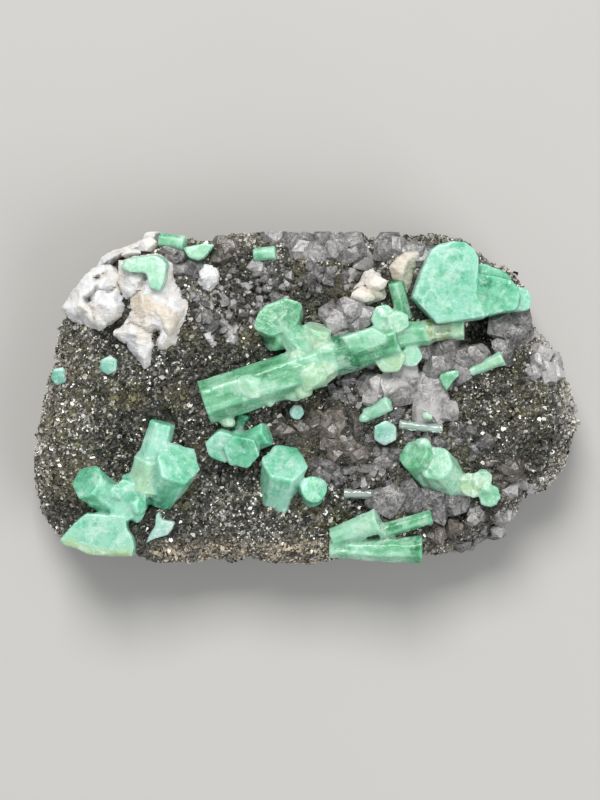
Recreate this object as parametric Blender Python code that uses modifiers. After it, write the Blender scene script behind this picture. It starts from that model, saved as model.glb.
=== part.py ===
"""A hand-sized slab of mica schist with green beryl crystals, grey quartz and white feldspar grown into its upper face.

The slab lies on its flat back in the XY plane, and the crystals are on top. Lengths in the tables are millimetres,
measured from the middle of the slab's plan and up from its flat back. MM turns them into Blender's metres.
"""
import math
import random
from typing import NamedTuple

import bmesh
import bpy
from mathutils import Matrix, Vector, noise

MM = 0.001

# Driving dimensions of the slab.
FACE_HEIGHT = 16.0        # mean height of the crystal face over the flat back
FACE_SWELL = 1.1          # how far the face rises and falls about that height
EDGE_ROUNDING = 3.6       # width of the band where the face rolls over into the side wall
EDGE_DROP = 3.6           # how far the face has dropped at the rim
BACK_ROUNDING = 5.0       # height over which the side wall turns in towards the back
BACK_INSET = 5.5          # how far the wall has turned in at the back
LEDGE_DEPTH = 2.2         # depth of the ledges that the schist's layers leave in the wall
LAYER_THICKNESS = 3.2     # thickness of those layers
SLAB_GRAIN = 1.45         # mesh size of the slab before it is thinned out
SLAB_TRIANGLES = 1200     # triangles in the slab before its sockets are cut

GAP = 0.32                # room round each embedded piece, in its socket
EDGE_SOFTNESS = 0.35      # chamfer on the upper edge of a tabular crystal
GROOVE = 0.035            # depth of the long grooves on a prism, as a share of its radius
LUMP_GRAIN = 0.95         # mesh size of a feldspar lump before it is thinned out

BERYL = (0.20, 0.62, 0.42)
PALE_BERYL = (0.50, 0.76, 0.66)
FELDSPAR = (0.82, 0.79, 0.74)
QUARTZ = (0.42, 0.40, 0.41)
SMOKY_QUARTZ = (0.27, 0.22, 0.20)
SCHIST = (0.17, 0.17, 0.14)

# The slab's rim in plan, clockwise from the left.
RIM = [
    (-42.0, 0.0), (-41.2, 4.2), (-40.0, 6.0), (-39.6, 11.0), (-38.6, 13.2), (-37.6, 16.2), (-35.0, 19.3),
    (-31.5, 22.2), (-27.6, 24.2), (-24.2, 26.2), (-21.0, 25.8), (-17.2, 24.8), (-15.0, 25.0), (-11.8, 26.4),
    (-6.0, 26.1), (0.0, 26.2), (7.6, 26.4), (10.2, 25.3), (14.0, 25.6), (19.5, 26.0), (25.8, 24.9), (28.6, 21.9),
    (32.4, 20.0), (34.6, 17.6), (34.9, 13.6), (35.9, 11.2), (39.1, 8.1), (40.4, 4.4), (42.6, 0.0), (43.7, -4.0),
    (42.9, -6.2), (41.6, -9.8), (39.9, -13.0), (37.6, -15.0), (34.7, -15.4), (33.5, -19.2), (30.5, -21.6),
    (26.0, -23.9), (21.0, -25.3), (16.0, -25.2), (8.0, -25.4), (1.5, -26.7), (-5.0, -26.5), (-9.5, -25.6),
    (-12.0, -26.4), (-16.5, -25.8), (-23.0, -26.8), (-27.5, -25.4), (-33.0, -24.6), (-38.0, -22.8), (-40.4, -21.8),
    (-42.3, -19.0), (-43.2, -14.0), (-43.9, -10.0), (-43.0, -5.5),
]

# Hollows and rises in the crystal face: middle, radius and height.
FACE_FORMS = [
    ((-30.5, -11.0), 5.0, -2.2),
    ((-40.0, -19.0), 4.5, -2.4),
    ((4.0, 2.0), 4.5, -2.0),
    ((27.2, 10.2), 2.6, -3.4),
    ((-9.5, 16.8), 3.2, -1.6),
    ((9.0, 20.5), 3.5, -1.5),
    ((-30.5, 9.5), 3.5, -1.3),
    ((24.0, -22.0), 4.0, -2.2),
    ((35.5, -13.2), 3.0, -1.6),
    ((-14.0, -12.5), 4.5, -1.5),
    ((9.0, -17.0), 2.4, -1.8),
    ((31.0, -3.0), 8.0, 0.9),
    ((-36.0, -5.0), 7.0, 0.8),
    ((-12.0, 9.0), 5.0, 0.7),
]


def collection(name):
    """A new collection in the scene."""
    made = bpy.data.collections.new(name)
    bpy.context.scene.collection.children.link(made)
    return made


def material(name, colour, roughness):
    """A plain Principled material."""
    made = bpy.data.materials.new(name)
    made.use_nodes = True
    made.diffuse_color = (*colour, 1)
    shader = made.node_tree.nodes["Principled BSDF"]
    shader.inputs["Base Color"].default_value = (*colour, 1)
    shader.inputs["Roughness"].default_value = roughness
    return made


def object_from(name, bm, home):
    """An object in the collection home that holds the bmesh."""
    bmesh.ops.triangulate(bm, faces=bm.faces)
    bmesh.ops.recalc_face_normals(bm, faces=bm.faces)
    mesh = bpy.data.meshes.new(name)
    bm.to_mesh(mesh)
    bm.free()
    made = bpy.data.objects.new(name, mesh)
    home.objects.link(made)
    return made


def settle(obj):
    """Applies the object's modifiers to its mesh."""
    bpy.context.view_layer.update()
    graph = bpy.context.evaluated_depsgraph_get()
    mesh = bpy.data.meshes.new_from_object(obj.evaluated_get(graph))
    obj.modifiers.clear()
    obj.data = mesh


def keep_largest_body(obj):
    """Deletes the crumbs that a cut leaves apart from the main body."""
    bm = bmesh.new()
    bm.from_mesh(obj.data)
    bmesh.ops.remove_doubles(bm, verts=bm.verts, dist=0.0005 * MM)
    left = set(bm.verts)
    bodies = []
    while left:
        body, front = set(), [left.pop()]
        while front:
            vert = front.pop()
            body.add(vert)
            near = {edge.other_vert(vert) for edge in vert.link_edges} & left
            left -= near
            front += near
        bodies.append(body)
    largest = max(bodies, key=len)
    bmesh.ops.delete(bm, geom=[v for v in bm.verts if v not in largest], context="VERTS")
    bm.to_mesh(obj.data)
    bm.free()


def plan_solid(name, outline, bottom, top, grow, home):
    """A closed mesh: the plan outline, raised from bottom to top and widened by grow."""
    curve = bpy.data.curves.new(name, "CURVE")
    curve.dimensions = "2D"
    curve.fill_mode = "BOTH"
    curve.extrude = (top - bottom) / 2 * MM
    curve.offset = grow * MM
    spline = curve.splines.new("POLY")
    spline.points.add(len(outline) - 1)
    for point, (x, y) in zip(spline.points, outline):
        point.co = (x * MM, y * MM, 0, 1)
    spline.use_cyclic_u = True
    drawn = bpy.data.objects.new(name, curve)
    bpy.context.scene.collection.objects.link(drawn)
    bpy.context.view_layer.update()
    graph = bpy.context.evaluated_depsgraph_get()
    bm = bmesh.new()
    bm.from_mesh(drawn.evaluated_get(graph).to_mesh())
    bpy.data.objects.remove(drawn)
    bmesh.ops.remove_doubles(bm, verts=bm.verts, dist=0.01 * MM)
    bmesh.ops.translate(bm, verts=bm.verts, vec=(0, 0, (top + bottom) / 2 * MM))
    return object_from(name, bm, home)


class Prism(NamedTuple):
    """A six-sided crystal, from the middle of one end face to the middle of the other."""
    tail: tuple
    head: tuple
    width: float                # across the corners at the tail
    head_width: float = 0.0     # across the corners at the head, or 0 for the same
    roll: float = 0.0           # degrees about its length; 0 turns a flat side up
    strips: int = 1             # strips on each of the six sides, with grooves between them
    chamfer: float = 0.3        # chamfer round the head's end face
    lean: float = 0.0           # slope of the head's end face

    def solid(self, name, grow, home):
        tail, head = Vector(self.tail), Vector(self.head)
        along = (head - tail).normalized()
        side = Vector((0, 0, 1)).cross(along)
        side = side.normalized() if side.length > 0.05 else Vector((1, 0, 0))
        up = along.cross(side)
        length = (head - tail).length + 2 * grow
        extra = grow / math.cos(math.radians(30))
        tail_radius = self.width / 2 + extra
        head_radius = (self.head_width or self.width) / 2 + extra
        strips = 1 if grow else self.strips
        bm = bmesh.new()
        bmesh.ops.create_cone(bm, cap_ends=True, segments=6 * strips, radius1=tail_radius,
                              radius2=head_radius, depth=length)
        self.square_up(bm, strips, name)
        if self.chamfer and not grow:
            end = max(bm.faces, key=lambda face: face.calc_center_median().z)
            bmesh.ops.inset_region(bm, faces=[end], thickness=self.chamfer, depth=0.0)
            rim = {v for v in bm.verts if v.co.z > length / 2 - 1e-6} - set(end.verts)
            for vert in rim:
                vert.co.z -= self.chamfer * 0.8
        for vert in bm.verts:
            if vert.co.z > 0 and not grow:
                vert.co.z += self.lean * vert.co.x
        middle = (tail + head) / 2
        frame = Matrix((side, up, along)).transposed().to_4x4()
        frame = Matrix.Translation(middle) @ frame @ Matrix.Rotation(math.radians(self.roll + 30), 4, "Z")
        bmesh.ops.transform(bm, matrix=Matrix.Scale(MM, 4) @ frame, verts=bm.verts)
        return object_from(name, bm, home)

    def square_up(self, bm, strips, name):
        """Draws the round section in to a hexagon whose sides carry shallow grooves."""
        chance = random.Random(name)
        grooves = [chance.uniform(0, GROOVE) for _ in range(6 * strips)]
        for vert in bm.verts:
            angle = math.atan2(vert.co.x, vert.co.y) % math.tau
            step = round(angle / math.tau * 6 * strips) % (6 * strips)
            flat = math.cos(math.pi / 6) / math.cos(angle % (math.pi / 3) - math.pi / 6)
            share = flat * (1 - grooves[step]) if step % strips else 1.0
            vert.co.x *= share
            vert.co.y *= share


class Table(NamedTuple):
    """A tabular or broken crystal, drawn in plan, with a top face that slopes."""
    outline: list
    bottom: float
    top: float
    slope: tuple = (0.0, 0.0)   # rise of the top face along X and Y
    draft: float = 0.0          # how far the top edge is drawn in

    def solid(self, name, grow, home):
        lift = abs(self.slope[0]) * 8 + abs(self.slope[1]) * 8 if grow else 0
        made = plan_solid(name, self.outline, self.bottom - grow, self.top + grow + lift, grow, home)
        if grow:
            return made
        xs, ys = zip(*self.outline)
        middle = Vector((sum(xs) / len(xs), sum(ys) / len(ys), 0)) * MM
        bm = bmesh.new()
        bm.from_mesh(made.data)
        for vert in [v for v in bm.verts if v.co.z > (self.top - 0.01) * MM]:
            off = vert.co - middle
            off.z = 0
            vert.co -= off.normalized() * self.draft * MM
            vert.co.z += off.x * self.slope[0] + off.y * self.slope[1]
        upper = [e for e in bm.edges if all(v.co.z > (self.top + self.bottom) / 2 * MM for v in e.verts)
                 and e.calc_face_angle(0) > 0.5]
        bmesh.ops.bevel(bm, geom=upper, offset=EDGE_SOFTNESS * MM, segments=1, affect="EDGES",
                        clamp_overlap=True)
        bm.to_mesh(made.data)
        bm.free()
        return made


class Chunk(NamedTuple):
    """An angular broken grain: the hull of points scattered over an ellipsoid."""
    middle: tuple
    size: tuple                 # its three diameters
    points: int = 11

    def solid(self, name, grow, home):
        chance = random.Random(str(self.middle))
        turn = Matrix.Rotation(chance.uniform(0, math.pi), 3, "Z")
        bm = bmesh.new()
        for i in range(self.points):
            level = 1 - 2 * (i + 0.5) / self.points
            angle = i * math.pi * (3 - math.sqrt(5)) + chance.uniform(-0.35, 0.35)
            ring = math.sqrt(1 - level * level)
            way = turn @ Vector((ring * math.cos(angle), ring * math.sin(angle), level))
            reach = chance.uniform(0.88, 1.08)
            radii = [d / 2 * reach + grow * 1.3 for d in self.size]
            bm.verts.new([(m + w * r) * MM for m, w, r in zip(self.middle, way, radii)])
        bmesh.ops.convex_hull(bm, input=bm.verts)
        loose = [v for v in bm.verts if not v.link_faces]
        bmesh.ops.delete(bm, geom=loose, context="VERTS")
        return object_from(name, bm, home)


class Lump(NamedTuple):
    """A domed, crumbly lump of feldspar, drawn in plan."""
    outline: list
    bottom: float
    top: float
    triangles: int = 200

    def solid(self, name, grow, home):
        made = plan_solid(name, self.outline, self.bottom - grow, self.top + grow, grow, home)
        if grow:
            return made
        remesh = made.modifiers.new("even_grid", "REMESH")
        remesh.mode = "VOXEL"
        remesh.voxel_size = LUMP_GRAIN * MM
        settle(made)
        for vert in made.data.vertices:
            vert.co = self.weathered(vert.co / MM) * MM
        thin = made.modifiers.new("fewer_faces", "DECIMATE")
        thin.ratio = min(1.0, self.triangles / (2 * len(made.data.polygons)))
        settle(made)
        return made

    def weathered(self, at):
        """Where a point of the straight-walled blank goes: the top is domed and rough, and the wall draws in."""
        inside = distance_inside(self.outline, at.x, at.y)
        height = (at.z - self.bottom) / (self.top - self.bottom)
        crumble = noise.fractal(at * 0.45, 0.8, 2.1, 3) * 0.9
        upper = max(0.0, (height - 0.35) / 0.65)
        sag = 0.38 * math.exp(-max(inside, 0.0) / 1.6)
        at.z = self.bottom + (at.z - self.bottom) * (1 - sag * upper) + min(crumble, 0.5) * upper
        xs, ys = zip(*self.outline)
        to_middle = Vector((sum(xs) / len(xs) - at.x, sum(ys) / len(ys) - at.y, 0))
        if to_middle.length > 0.5:
            at += to_middle.normalized() * (0.15 + 0.7 * abs(crumble) * max(0.0, height))
        return at


def distance_inside(outline, x, y):
    """How far a point in plan is from the outline: positive inside it, negative outside."""
    nearest, inside = 1e9, False
    for (x1, y1), (x2, y2) in zip(outline, outline[1:] + outline[:1]):
        dx, dy = x2 - x1, y2 - y1
        share = max(0.0, min(1.0, ((x - x1) * dx + (y - y1) * dy) / (dx * dx + dy * dy)))
        nearest = min(nearest, math.hypot(x - x1 - share * dx, y - y1 - share * dy))
        if (y1 > y) != (y2 > y) and x < x1 + (y - y1) / dy * dx:
            inside = not inside
    return nearest if inside else -nearest


# Beryl crystals and intergrown groups of them, the uppermost first: where two meet, the later one is cut back.
BERYLS = {
    "beryl_corner_table": [
        Table([(16.0, 15.5), (17.3, 19.6), (19.0, 23.2), (20.4, 24.2), (22.6, 24.7), (24.7, 24.5), (26.1, 23.5),
               (27.0, 22.0), (27.0, 20.3), (26.6, 16.0), (28.0, 12.2), (24.0, 11.6), (20.1, 11.1)],
              12.5, 21.4, slope=(-0.04, 0.05), draft=0.35),
        Table([(25.9, 19.6), (28.6, 19.4), (32.1, 18.7), (33.2, 17.4), (33.7, 15.9), (33.4, 14.1), (32.7, 13.2),
               (30.4, 12.8), (26.0, 12.0)], 12.9, 20.4, slope=(-0.10, -0.02), draft=0.45),
        Table([(32.4, 17.8), (34.7, 17.3), (35.5, 15.9), (35.4, 14.1), (34.8, 13.4), (32.4, 13.3)],
              13.3, 17.8, slope=(-0.15, 0.0), draft=0.3),
        Table([(26.0, 20.9), (27.9, 21.2), (29.3, 20.7), (31.1, 20.0), (32.5, 18.6), (30.8, 18.2), (26.4, 19.0)],
              13.6, 17.6, slope=(-0.08, -0.1), draft=0.3),
    ],
    "beryl_long_prism": [
        Prism((-16.3, -1.0, 17.5), (2.0, 5.1, 17.3), 7.3, strips=2, chamfer=0.0),
        Prism((0.4, 5.2, 17.2), (14.1, 9.2, 17.6), 6.4, roll=12, strips=2, chamfer=0.0),
        Prism((12.3, 9.4, 17.0), (24.6, 10.9, 17.2), 4.6, 4.0, roll=8, strips=1, lean=0.2),
        Chunk((1.0, 4.9, 17.6), (8.4, 6.8, 6.4), 12),
        Prism((1.2, 4.8, 16.6), (-4.6, 12.6, 17.9), 5.0, roll=15, strips=1),
        Prism((-3.5, 11.1, 15.4), (-4.9, 13.2, 19.9), 7.6, roll=10, strips=2, chamfer=0.9),
        Prism((-2.8, 9.2, 15.2), (-5.7, 8.9, 16.9), 3.6),
        Prism((0.4, 5.6, 15.8), (1.7, 11.0, 18.0), 5.0, roll=20, strips=1, chamfer=0.5),
        Prism((12.0, 12.4, 15.0), (11.9, 12.5, 19.4), 4.3, roll=10, strips=1, chamfer=0.7),
        Prism((14.1, 11.8, 15.0), (14.2, 11.9, 19.9), 3.7, roll=35, strips=1, chamfer=0.7),
        Prism((12.7, 6.3, 14.4), (12.8, 6.1, 19.0), 5.3, roll=4, strips=1, chamfer=0.5),
        Prism((16.2, 6.6, 14.2), (16.4, 6.3, 17.8), 3.7, roll=22, strips=1, chamfer=0.5),
        Prism((15.5, 12.3, 15.2), (13.9, 18.2, 16.9), 3.0, roll=20, strips=1),
        Chunk((-8.9, 1.5, 19.7), (4.9, 4.4, 2.7), 12),
        Chunk((-2.2, 0.3, 17.5), (3.9, 2.4, 2.8), 12),
        Chunk((-6.0, -1.0, 17.6), (1.9, 1.5, 1.7), 12),
        Chunk((-12.6, -4.0, 17.0), (2.9, 2.1, 2.4), 12),
    ],
    "beryl_centre_cluster": [
        Prism((-13.0, -7.0, 13.8), (-13.5, -7.9, 18.7), 5.7, roll=12, strips=2, chamfer=0.4),
        Prism((-10.4, -7.2, 13.8), (-10.5, -8.7, 19.5), 5.9, roll=-8, strips=2, chamfer=0.4),
        Prism((-10.4, -7.6, 15.0), (-6.3, -5.7, 16.9), 4.2, roll=10, strips=1),
        Prism((-11.6, -6.4, 14.6), (-10.0, -2.6, 15.4), 2.6),
    ],
    "beryl_leaning_prism": [
        Prism((-5.9, -19.4, 13.0), (-3.6, -9.7, 19.0), 5.4, 7.5, roll=2, strips=3, chamfer=0.35),
        Prism((0.5, -15.9, 13.2), (0.95, -14.4, 18.6), 4.9, roll=16, strips=1, chamfer=0.7),
    ],
    "beryl_lower_left_cluster": [
        Prism((-25.8, -14.8, 16.0), (-22.8, -4.0, 17.6), 6.0, 4.2, roll=12, strips=2, chamfer=0.5),
        Prism((-23.4, -15.9, 13.6), (-19.8, -9.6, 20.0), 6.3, 6.6, roll=6, strips=3, chamfer=0.4),
        Prism((-29.8, -17.4, 14.6), (-35.0, -13.0, 17.6), 5.4, 5.6, roll=14, strips=2, chamfer=0.8),
        Prism((-28.4, -16.4, 13.6), (-28.4, -16.0, 18.4), 7.0, roll=10, strips=2, chamfer=0.6),
        Prism((-28.0, -14.9, 15.3), (-28.3, -12.5, 17.1), 2.5, roll=17),
        Chunk((-27.0, -18.6, 16.3), (2.9, 2.6, 3.4), 12),
        Table([(-39.4, -22.5), (-37.0, -19.6), (-35.0, -18.0), (-33.0, -18.0), (-31.0, -18.2), (-28.4, -18.6),
               (-28.0, -20.8), (-27.2, -22.0), (-26.9, -23.6), (-27.3, -25.2), (-31.0, -25.3), (-35.0, -24.9),
               (-36.6, -24.0), (-38.8, -23.4)], 11.4, 17.9, slope=(0.09, 0.16), draft=0.4),
    ],
    "beryl_right_cluster": [
        Prism((22.7, -13.2, 13.6), (19.1, -9.8, 19.4), 7.2, roll=8, strips=3, chamfer=0.45),
        Prism((19.6, -12.6, 13.8), (16.6, -9.7, 17.7), 5.2, roll=20, strips=1, chamfer=0.5),
        Chunk((23.9, -14.4, 15.6), (3.6, 3.0, 3.6), 12),
        Prism((25.7, -14.1, 13.6), (25.8, -13.8, 17.5), 4.2, roll=5, strips=1, chamfer=0.5),
        Prism((27.6, -13.2, 13.6), (27.6, -12.9, 17.8), 3.4, roll=25, chamfer=0.5),
        Prism((28.5, -15.6, 13.6), (28.7, -15.6, 17.4), 3.8, roll=14, strips=1, chamfer=0.5),
    ],
    "beryl_bottom_bundle": [
        Prism((3.9, -22.2, 15.4), (11.2, -19.4, 17.4), 3.4, 4.6, roll=10, strips=2, chamfer=0.5),
        Prism((11.2, -21.4, 16.0), (19.6, -18.9, 16.9), 2.7, roll=8, strips=2, chamfer=0.3),
        Prism((3.4, -24.0, 14.8), (18.2, -24.2, 15.8), 3.4, 5.0, roll=4, strips=3, chamfer=0.15),
    ],
    "beryl_in_feldspar": [
        Table([(-29.7, 20.3), (-28.9, 21.8), (-27.0, 22.3), (-23.6, 22.6), (-22.3, 21.9), (-21.9, 20.8),
               (-22.2, 18.0), (-23.1, 16.7), (-24.3, 17.0), (-24.8, 19.2), (-28.5, 19.5)],
              16.4, 20.4, slope=(0.05, -0.06), draft=0.35),
    ],
    "beryl_shard": [
        Table([(-25.8, -23.4), (-25.4, -22.2), (-24.3, -20.4), (-24.0, -18.3), (-23.3, -17.9), (-22.9, -19.2),
               (-20.7, -19.6), (-21.2, -21.0), (-21.9, -21.9), (-24.4, -22.7)], 13.9, 16.5, draft=0.2),
    ],
    "beryl_slanting_prism": [Prism((8.8, -3.1, 14.9), (13.1, -0.9, 16.4), 2.6, roll=10, strips=1)],
    "beryl_hexagon": [Prism((12.3, -5.7, 13.4), (12.3, -5.6, 17.3), 4.3, roll=28, strips=1, chamfer=0.4)],
    "beryl_clear_needle": [Prism((14.9, -4.4, 15.8), (21.4, -5.1, 16.3), 1.45, chamfer=0.1)],
    "beryl_clear_stub": [Prism((5.7, -15.3, 15.7), (11.2, -15.4, 15.9), 1.9, chamfer=0.2)],
    "beryl_right_chip": [
        Table([(20.4, 3.0), (20.8, 3.9), (22.6, 4.4), (24.1, 4.4), (24.1, 3.4), (23.2, 2.4), (21.8, 0.7),
               (21.0, 1.8)], 13.6, 16.9, slope=(0.05, 0.08), draft=0.25),
    ],
    "beryl_right_needle": [Prism((25.6, 3.9, 15.8), (30.8, 6.2, 16.8), 2.0, chamfer=0.2)],
    "beryl_blue_grain": [Prism((-1.8, -2.6, 13.6), (-1.7, -2.4, 16.4), 2.6, roll=20, chamfer=0.3)],
    "beryl_left_hexagon": [Prism((-31.4, 4.9, 13.4), (-31.4, 5.0, 16.9), 3.3, roll=26, chamfer=0.3)],
    "beryl_left_edge_grain": [Prism((-39.2, 3.2, 11.2), (-39.3, 3.3, 14.6), 2.6, roll=10, chamfer=0.3)],
    "beryl_top_edge_left": [Prism((-23.4, 24.9, 14.2), (-19.5, 24.2, 15.4), 2.1, roll=8, chamfer=0.4)],
    "beryl_top_edge_right": [
        Table([(-19.7, 23.5), (-18.6, 23.7), (-16.0, 24.1), (-14.8, 23.9), (-15.6, 22.8), (-16.4, 22.0),
               (-17.3, 21.6), (-18.5, 22.1)], 12.6, 15.9, slope=(0.05, -0.08), draft=0.3),
    ],
    "beryl_top_grain": [Prism((-8.5, 22.5, 15.2), (-5.0, 22.8, 15.8), 2.4, roll=6, chamfer=0.4)],
    "beryl_chip": [Chunk((18.8, -3.0, 16.3), (1.5, 1.3, 1.3), 12)],
}

FELDSPARS = {
    "feldspar_left": [
        Lump([(-38.8, 14.0), (-37.8, 16.5), (-35.0, 19.7), (-33.0, 21.2), (-31.0, 21.2), (-30.2, 19.0),
              (-30.3, 16.0), (-29.4, 14.2), (-30.4, 12.5), (-31.2, 11.4), (-33.2, 10.7), (-35.2, 11.5),
              (-36.6, 11.8), (-37.7, 12.6)], 10.0, 19.8, 200),
    ],
    "feldspar_middle": [
        Lump([(-29.6, 17.0), (-29.6, 22.0), (-24.0, 22.9), (-21.4, 21.4), (-20.8, 18.5), (-19.1, 15.6),
              (-19.0, 13.6), (-20.2, 10.0), (-21.0, 8.3), (-22.6, 7.4), (-24.2, 7.3), (-24.9, 5.0), (-25.8, 4.2),
              (-26.9, 5.6), (-28.1, 7.9), (-30.6, 10.0), (-28.6, 12.4), (-28.2, 14.2), (-29.1, 15.4)],
             11.5, 19.6, 260),
    ],
    "feldspar_rim": [
        Lump([(-32.6, 22.1), (-30.0, 23.5), (-27.5, 24.6), (-26.2, 24.8), (-24.2, 26.7), (-23.3, 26.4),
              (-24.2, 23.8), (-26.0, 23.5), (-30.2, 22.6), (-31.5, 21.8)], 7.5, 15.8, 90),
    ],
    "feldspar_small": [
        Lump([(-18.0, 18.4), (-17.5, 20.0), (-16.5, 20.9), (-15.0, 20.9), (-14.2, 19.9), (-14.4, 17.9),
              (-15.6, 16.2), (-17.1, 17.0)], 12.8, 17.6, 70),
    ],
    "feldspar_cream": [
        Lump([(6.5, 16.2), (7.3, 17.3), (8.4, 18.2), (9.0, 19.7), (10.1, 20.1), (11.6, 19.4), (12.4, 17.6),
              (12.4, 15.6), (10.9, 14.9), (9.0, 14.2), (7.7, 14.5)], 12.6, 18.6, 100),
    ],
    "feldspar_upper_cream": [
        Lump([(13.0, 20.8), (14.0, 22.4), (16.0, 23.7), (18.3, 24.1), (18.4, 22.9), (17.2, 20.4), (16.6, 18.6),
              (15.6, 19.2), (14.2, 19.6)], 12.6, 17.4, 80),
    ],
}

QUARTZ_GRAINS = {
    "quartz_top_band": [
        Chunk((-5.2, 24.4, 13.6), (6.4, 3.6, 4.4)), Chunk((-1.3, 23.7, 14.0), (5.8, 4.2, 4.6)),
        Chunk((2.8, 23.9, 14.2), (6.4, 4.2, 4.6)), Chunk((7.0, 23.9, 14.0), (6.4, 3.8, 4.6)),
        Chunk((11.2, 23.8, 13.6), (6.0, 3.4, 4.4)),
    ],
    "quartz_smoky_knob": [Chunk((-13.2, 23.3, 13.8), (5.2, 4.4, 4.8), 13)],
    "quartz_pink_grain": [Chunk((-7.7, 20.5, 14.6), (3.6, 3.0, 3.8))],
    "quartz_blue_grey": [Chunk((-21.4, 22.6, 13.6), (4.0, 3.2, 4.2)), Chunk((-19.9, 20.6, 14.2), (3.4, 3.8, 4.2))],
    "quartz_above_prism": [
        Chunk((4.2, 13.5, 15.0), (3.4, 3.2, 4.4)), Chunk((6.2, 11.7, 15.4), (4.8, 3.6, 4.4)),
    ],
    "quartz_right_bank": [
        Chunk((20.6, 6.9, 14.4), (6.6, 4.4, 5.0), 13), Chunk((25.4, 7.7, 14.6), (6.6, 4.6, 5.2), 13),
    ],
    "quartz_right_ledge": [Chunk((31.6, 9.9, 14.0), (6.8, 5.4, 6.0), 16)],
    "quartz_middle_bank": [
        Chunk((17.6, 3.5, 14.2), (5.6, 4.8, 4.8), 13), Chunk((18.6, 0.0, 14.6), (6.8, 4.4, 4.8), 13),
    ],
    "quartz_middle_grain": [Chunk((12.9, 1.7, 14.2), (5.0, 4.2, 4.6), 13)],
    "quartz_brown_grain": [Chunk((29.1, 2.2, 14.4), (3.8, 2.8, 4.2))],
    "quartz_right_edge": [Chunk((37.0, 5.0, 13.2), (5.0, 5.4, 4.8), 13)],
    "quartz_smoky_centre": [
        Chunk((-3.4, -5.4, 14.0), (5.2, 3.8, 4.6)), Chunk((0.4, -4.7, 14.4), (5.4, 4.6, 4.8)),
        Chunk((3.7, -7.2, 14.0), (5.2, 5.2, 4.4)), Chunk((5.4, -4.4, 14.0), (4.8, 4.6, 4.4)),
        Chunk((7.6, -8.2, 13.8), (4.8, 5.0, 4.2)),
    ],
    "quartz_lower_bank": [
        Chunk((14.6, -16.0, 14.0), (5.6, 4.2, 4.6)), Chunk((18.6, -16.1, 14.4), (5.6, 4.4, 5.0), 13),
        Chunk((22.4, -17.0, 14.0), (5.0, 4.2, 4.6)),
    ],
    "quartz_smoky_grains": [
        Chunk((20.6, -21.6, 13.4), (4.2, 4.0, 4.4)), Chunk((23.0, -20.5, 13.6), (3.6, 3.6, 4.2)),
    ],
    "quartz_lower_grain": [Chunk((26.7, -18.4, 14.0), (3.4, 3.2, 4.2), 13)],
    "quartz_grey_pair": [Chunk((30.7, -18.5, 13.2), (3.6, 3.8, 4.6), 13)],
    "quartz_pale_grain": [Chunk((31.7, -14.9, 13.8), (3.4, 3.2, 4.4), 13)],
    "quartz_smoky_lens": [
        Chunk((32.2, -11.1, 14.2), (5.2, 4.2, 4.8), 13), Chunk((28.7, -10.3, 14.2), (4.6, 3.4, 4.4)),
    ],
    "quartz_grey_lens": [Chunk((24.6, -8.6, 14.0), (3.2, 2.6, 4.0))],
    "quartz_rim_grain": [Chunk((30.4, -21.2, 12.2), (2.4, 2.2, 2.8))],
}


def face_height(x, y):
    """Height of the crystal face over the flat back."""
    swell = noise.fractal(Vector((x, y, 0)) * 0.09, 0.9, 2.0, 3) * FACE_SWELL
    height = FACE_HEIGHT + swell
    for (fx, fy), radius, rise in FACE_FORMS:
        height += rise * math.exp(-((x - fx) ** 2 + (y - fy) ** 2) / radius ** 2)
    return height


def slab_point(at):
    """Where a point of the straight-walled blank goes on the weathered slab."""
    inside = max(distance_inside(RIM, at.x, at.y), 0.0)
    layer = at.z / LAYER_THICKNESS + noise.noise(Vector((at.x, at.y, 0)) * 0.08) * 1.5
    ledge = noise.noise(Vector((math.floor(layer) * 7.3, at.x * 0.12, at.y * 0.12)))
    rough = noise.fractal(at * 0.35, 0.8, 2.2, 3)
    turn_in = max(0.0, 1 - at.z / BACK_ROUNDING) ** 2 * BACK_INSET
    turn_in += max(0.0, ledge) * LEDGE_DEPTH + 0.25 * abs(rough)
    inward = Vector((-at.x, -at.y * 1.6, 0)).normalized()
    near_wall = math.exp(-inside / 3.0)
    height_share = at.z / FACE_HEIGHT
    new = at + inward * turn_in * near_wall
    roll_over = EDGE_DROP * math.exp(-inside / EDGE_ROUNDING * 2.2)
    new.z = (face_height(at.x, at.y) - roll_over + 0.55 * rough) * height_share
    return new


def make_slab(home):
    """The schist slab, before its sockets are cut."""
    slab = plan_solid("matrix_schist", RIM, -1.0, FACE_HEIGHT, 0, home)
    remesh = slab.modifiers.new("even_grid", "REMESH")
    remesh.mode = "VOXEL"
    remesh.voxel_size = SLAB_GRAIN * MM
    settle(slab)
    for vert in slab.data.vertices:
        vert.co = slab_point(vert.co / MM) * MM
    thin = slab.modifiers.new("fewer_faces", "DECIMATE")
    thin.ratio = SLAB_TRIANGLES / (2 * len(slab.data.polygons))
    settle(slab)
    bm = bmesh.new()
    bm.from_mesh(slab.data)
    cut = bmesh.ops.bisect_plane(bm, geom=bm.verts[:] + bm.edges[:] + bm.faces[:], dist=1e-7,
                                 plane_co=(0, 0, 0), plane_no=(0, 0, 1), clear_inner=True)
    bmesh.ops.contextual_create(bm, geom=[e for e in cut["geom_cut"] if isinstance(e, bmesh.types.BMEdge)])
    bm.to_mesh(slab.data)
    bm.free()
    return slab


def near(one, other, room=0.5 * MM):
    """Whether the boxes of two objects come within room of each other."""
    return all(min(v.co[i] for v in one.data.vertices) - room < max(v.co[i] for v in other.data.vertices)
               and min(v.co[i] for v in other.data.vertices) - room < max(v.co[i] for v in one.data.vertices)
               for i in range(3))


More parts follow.
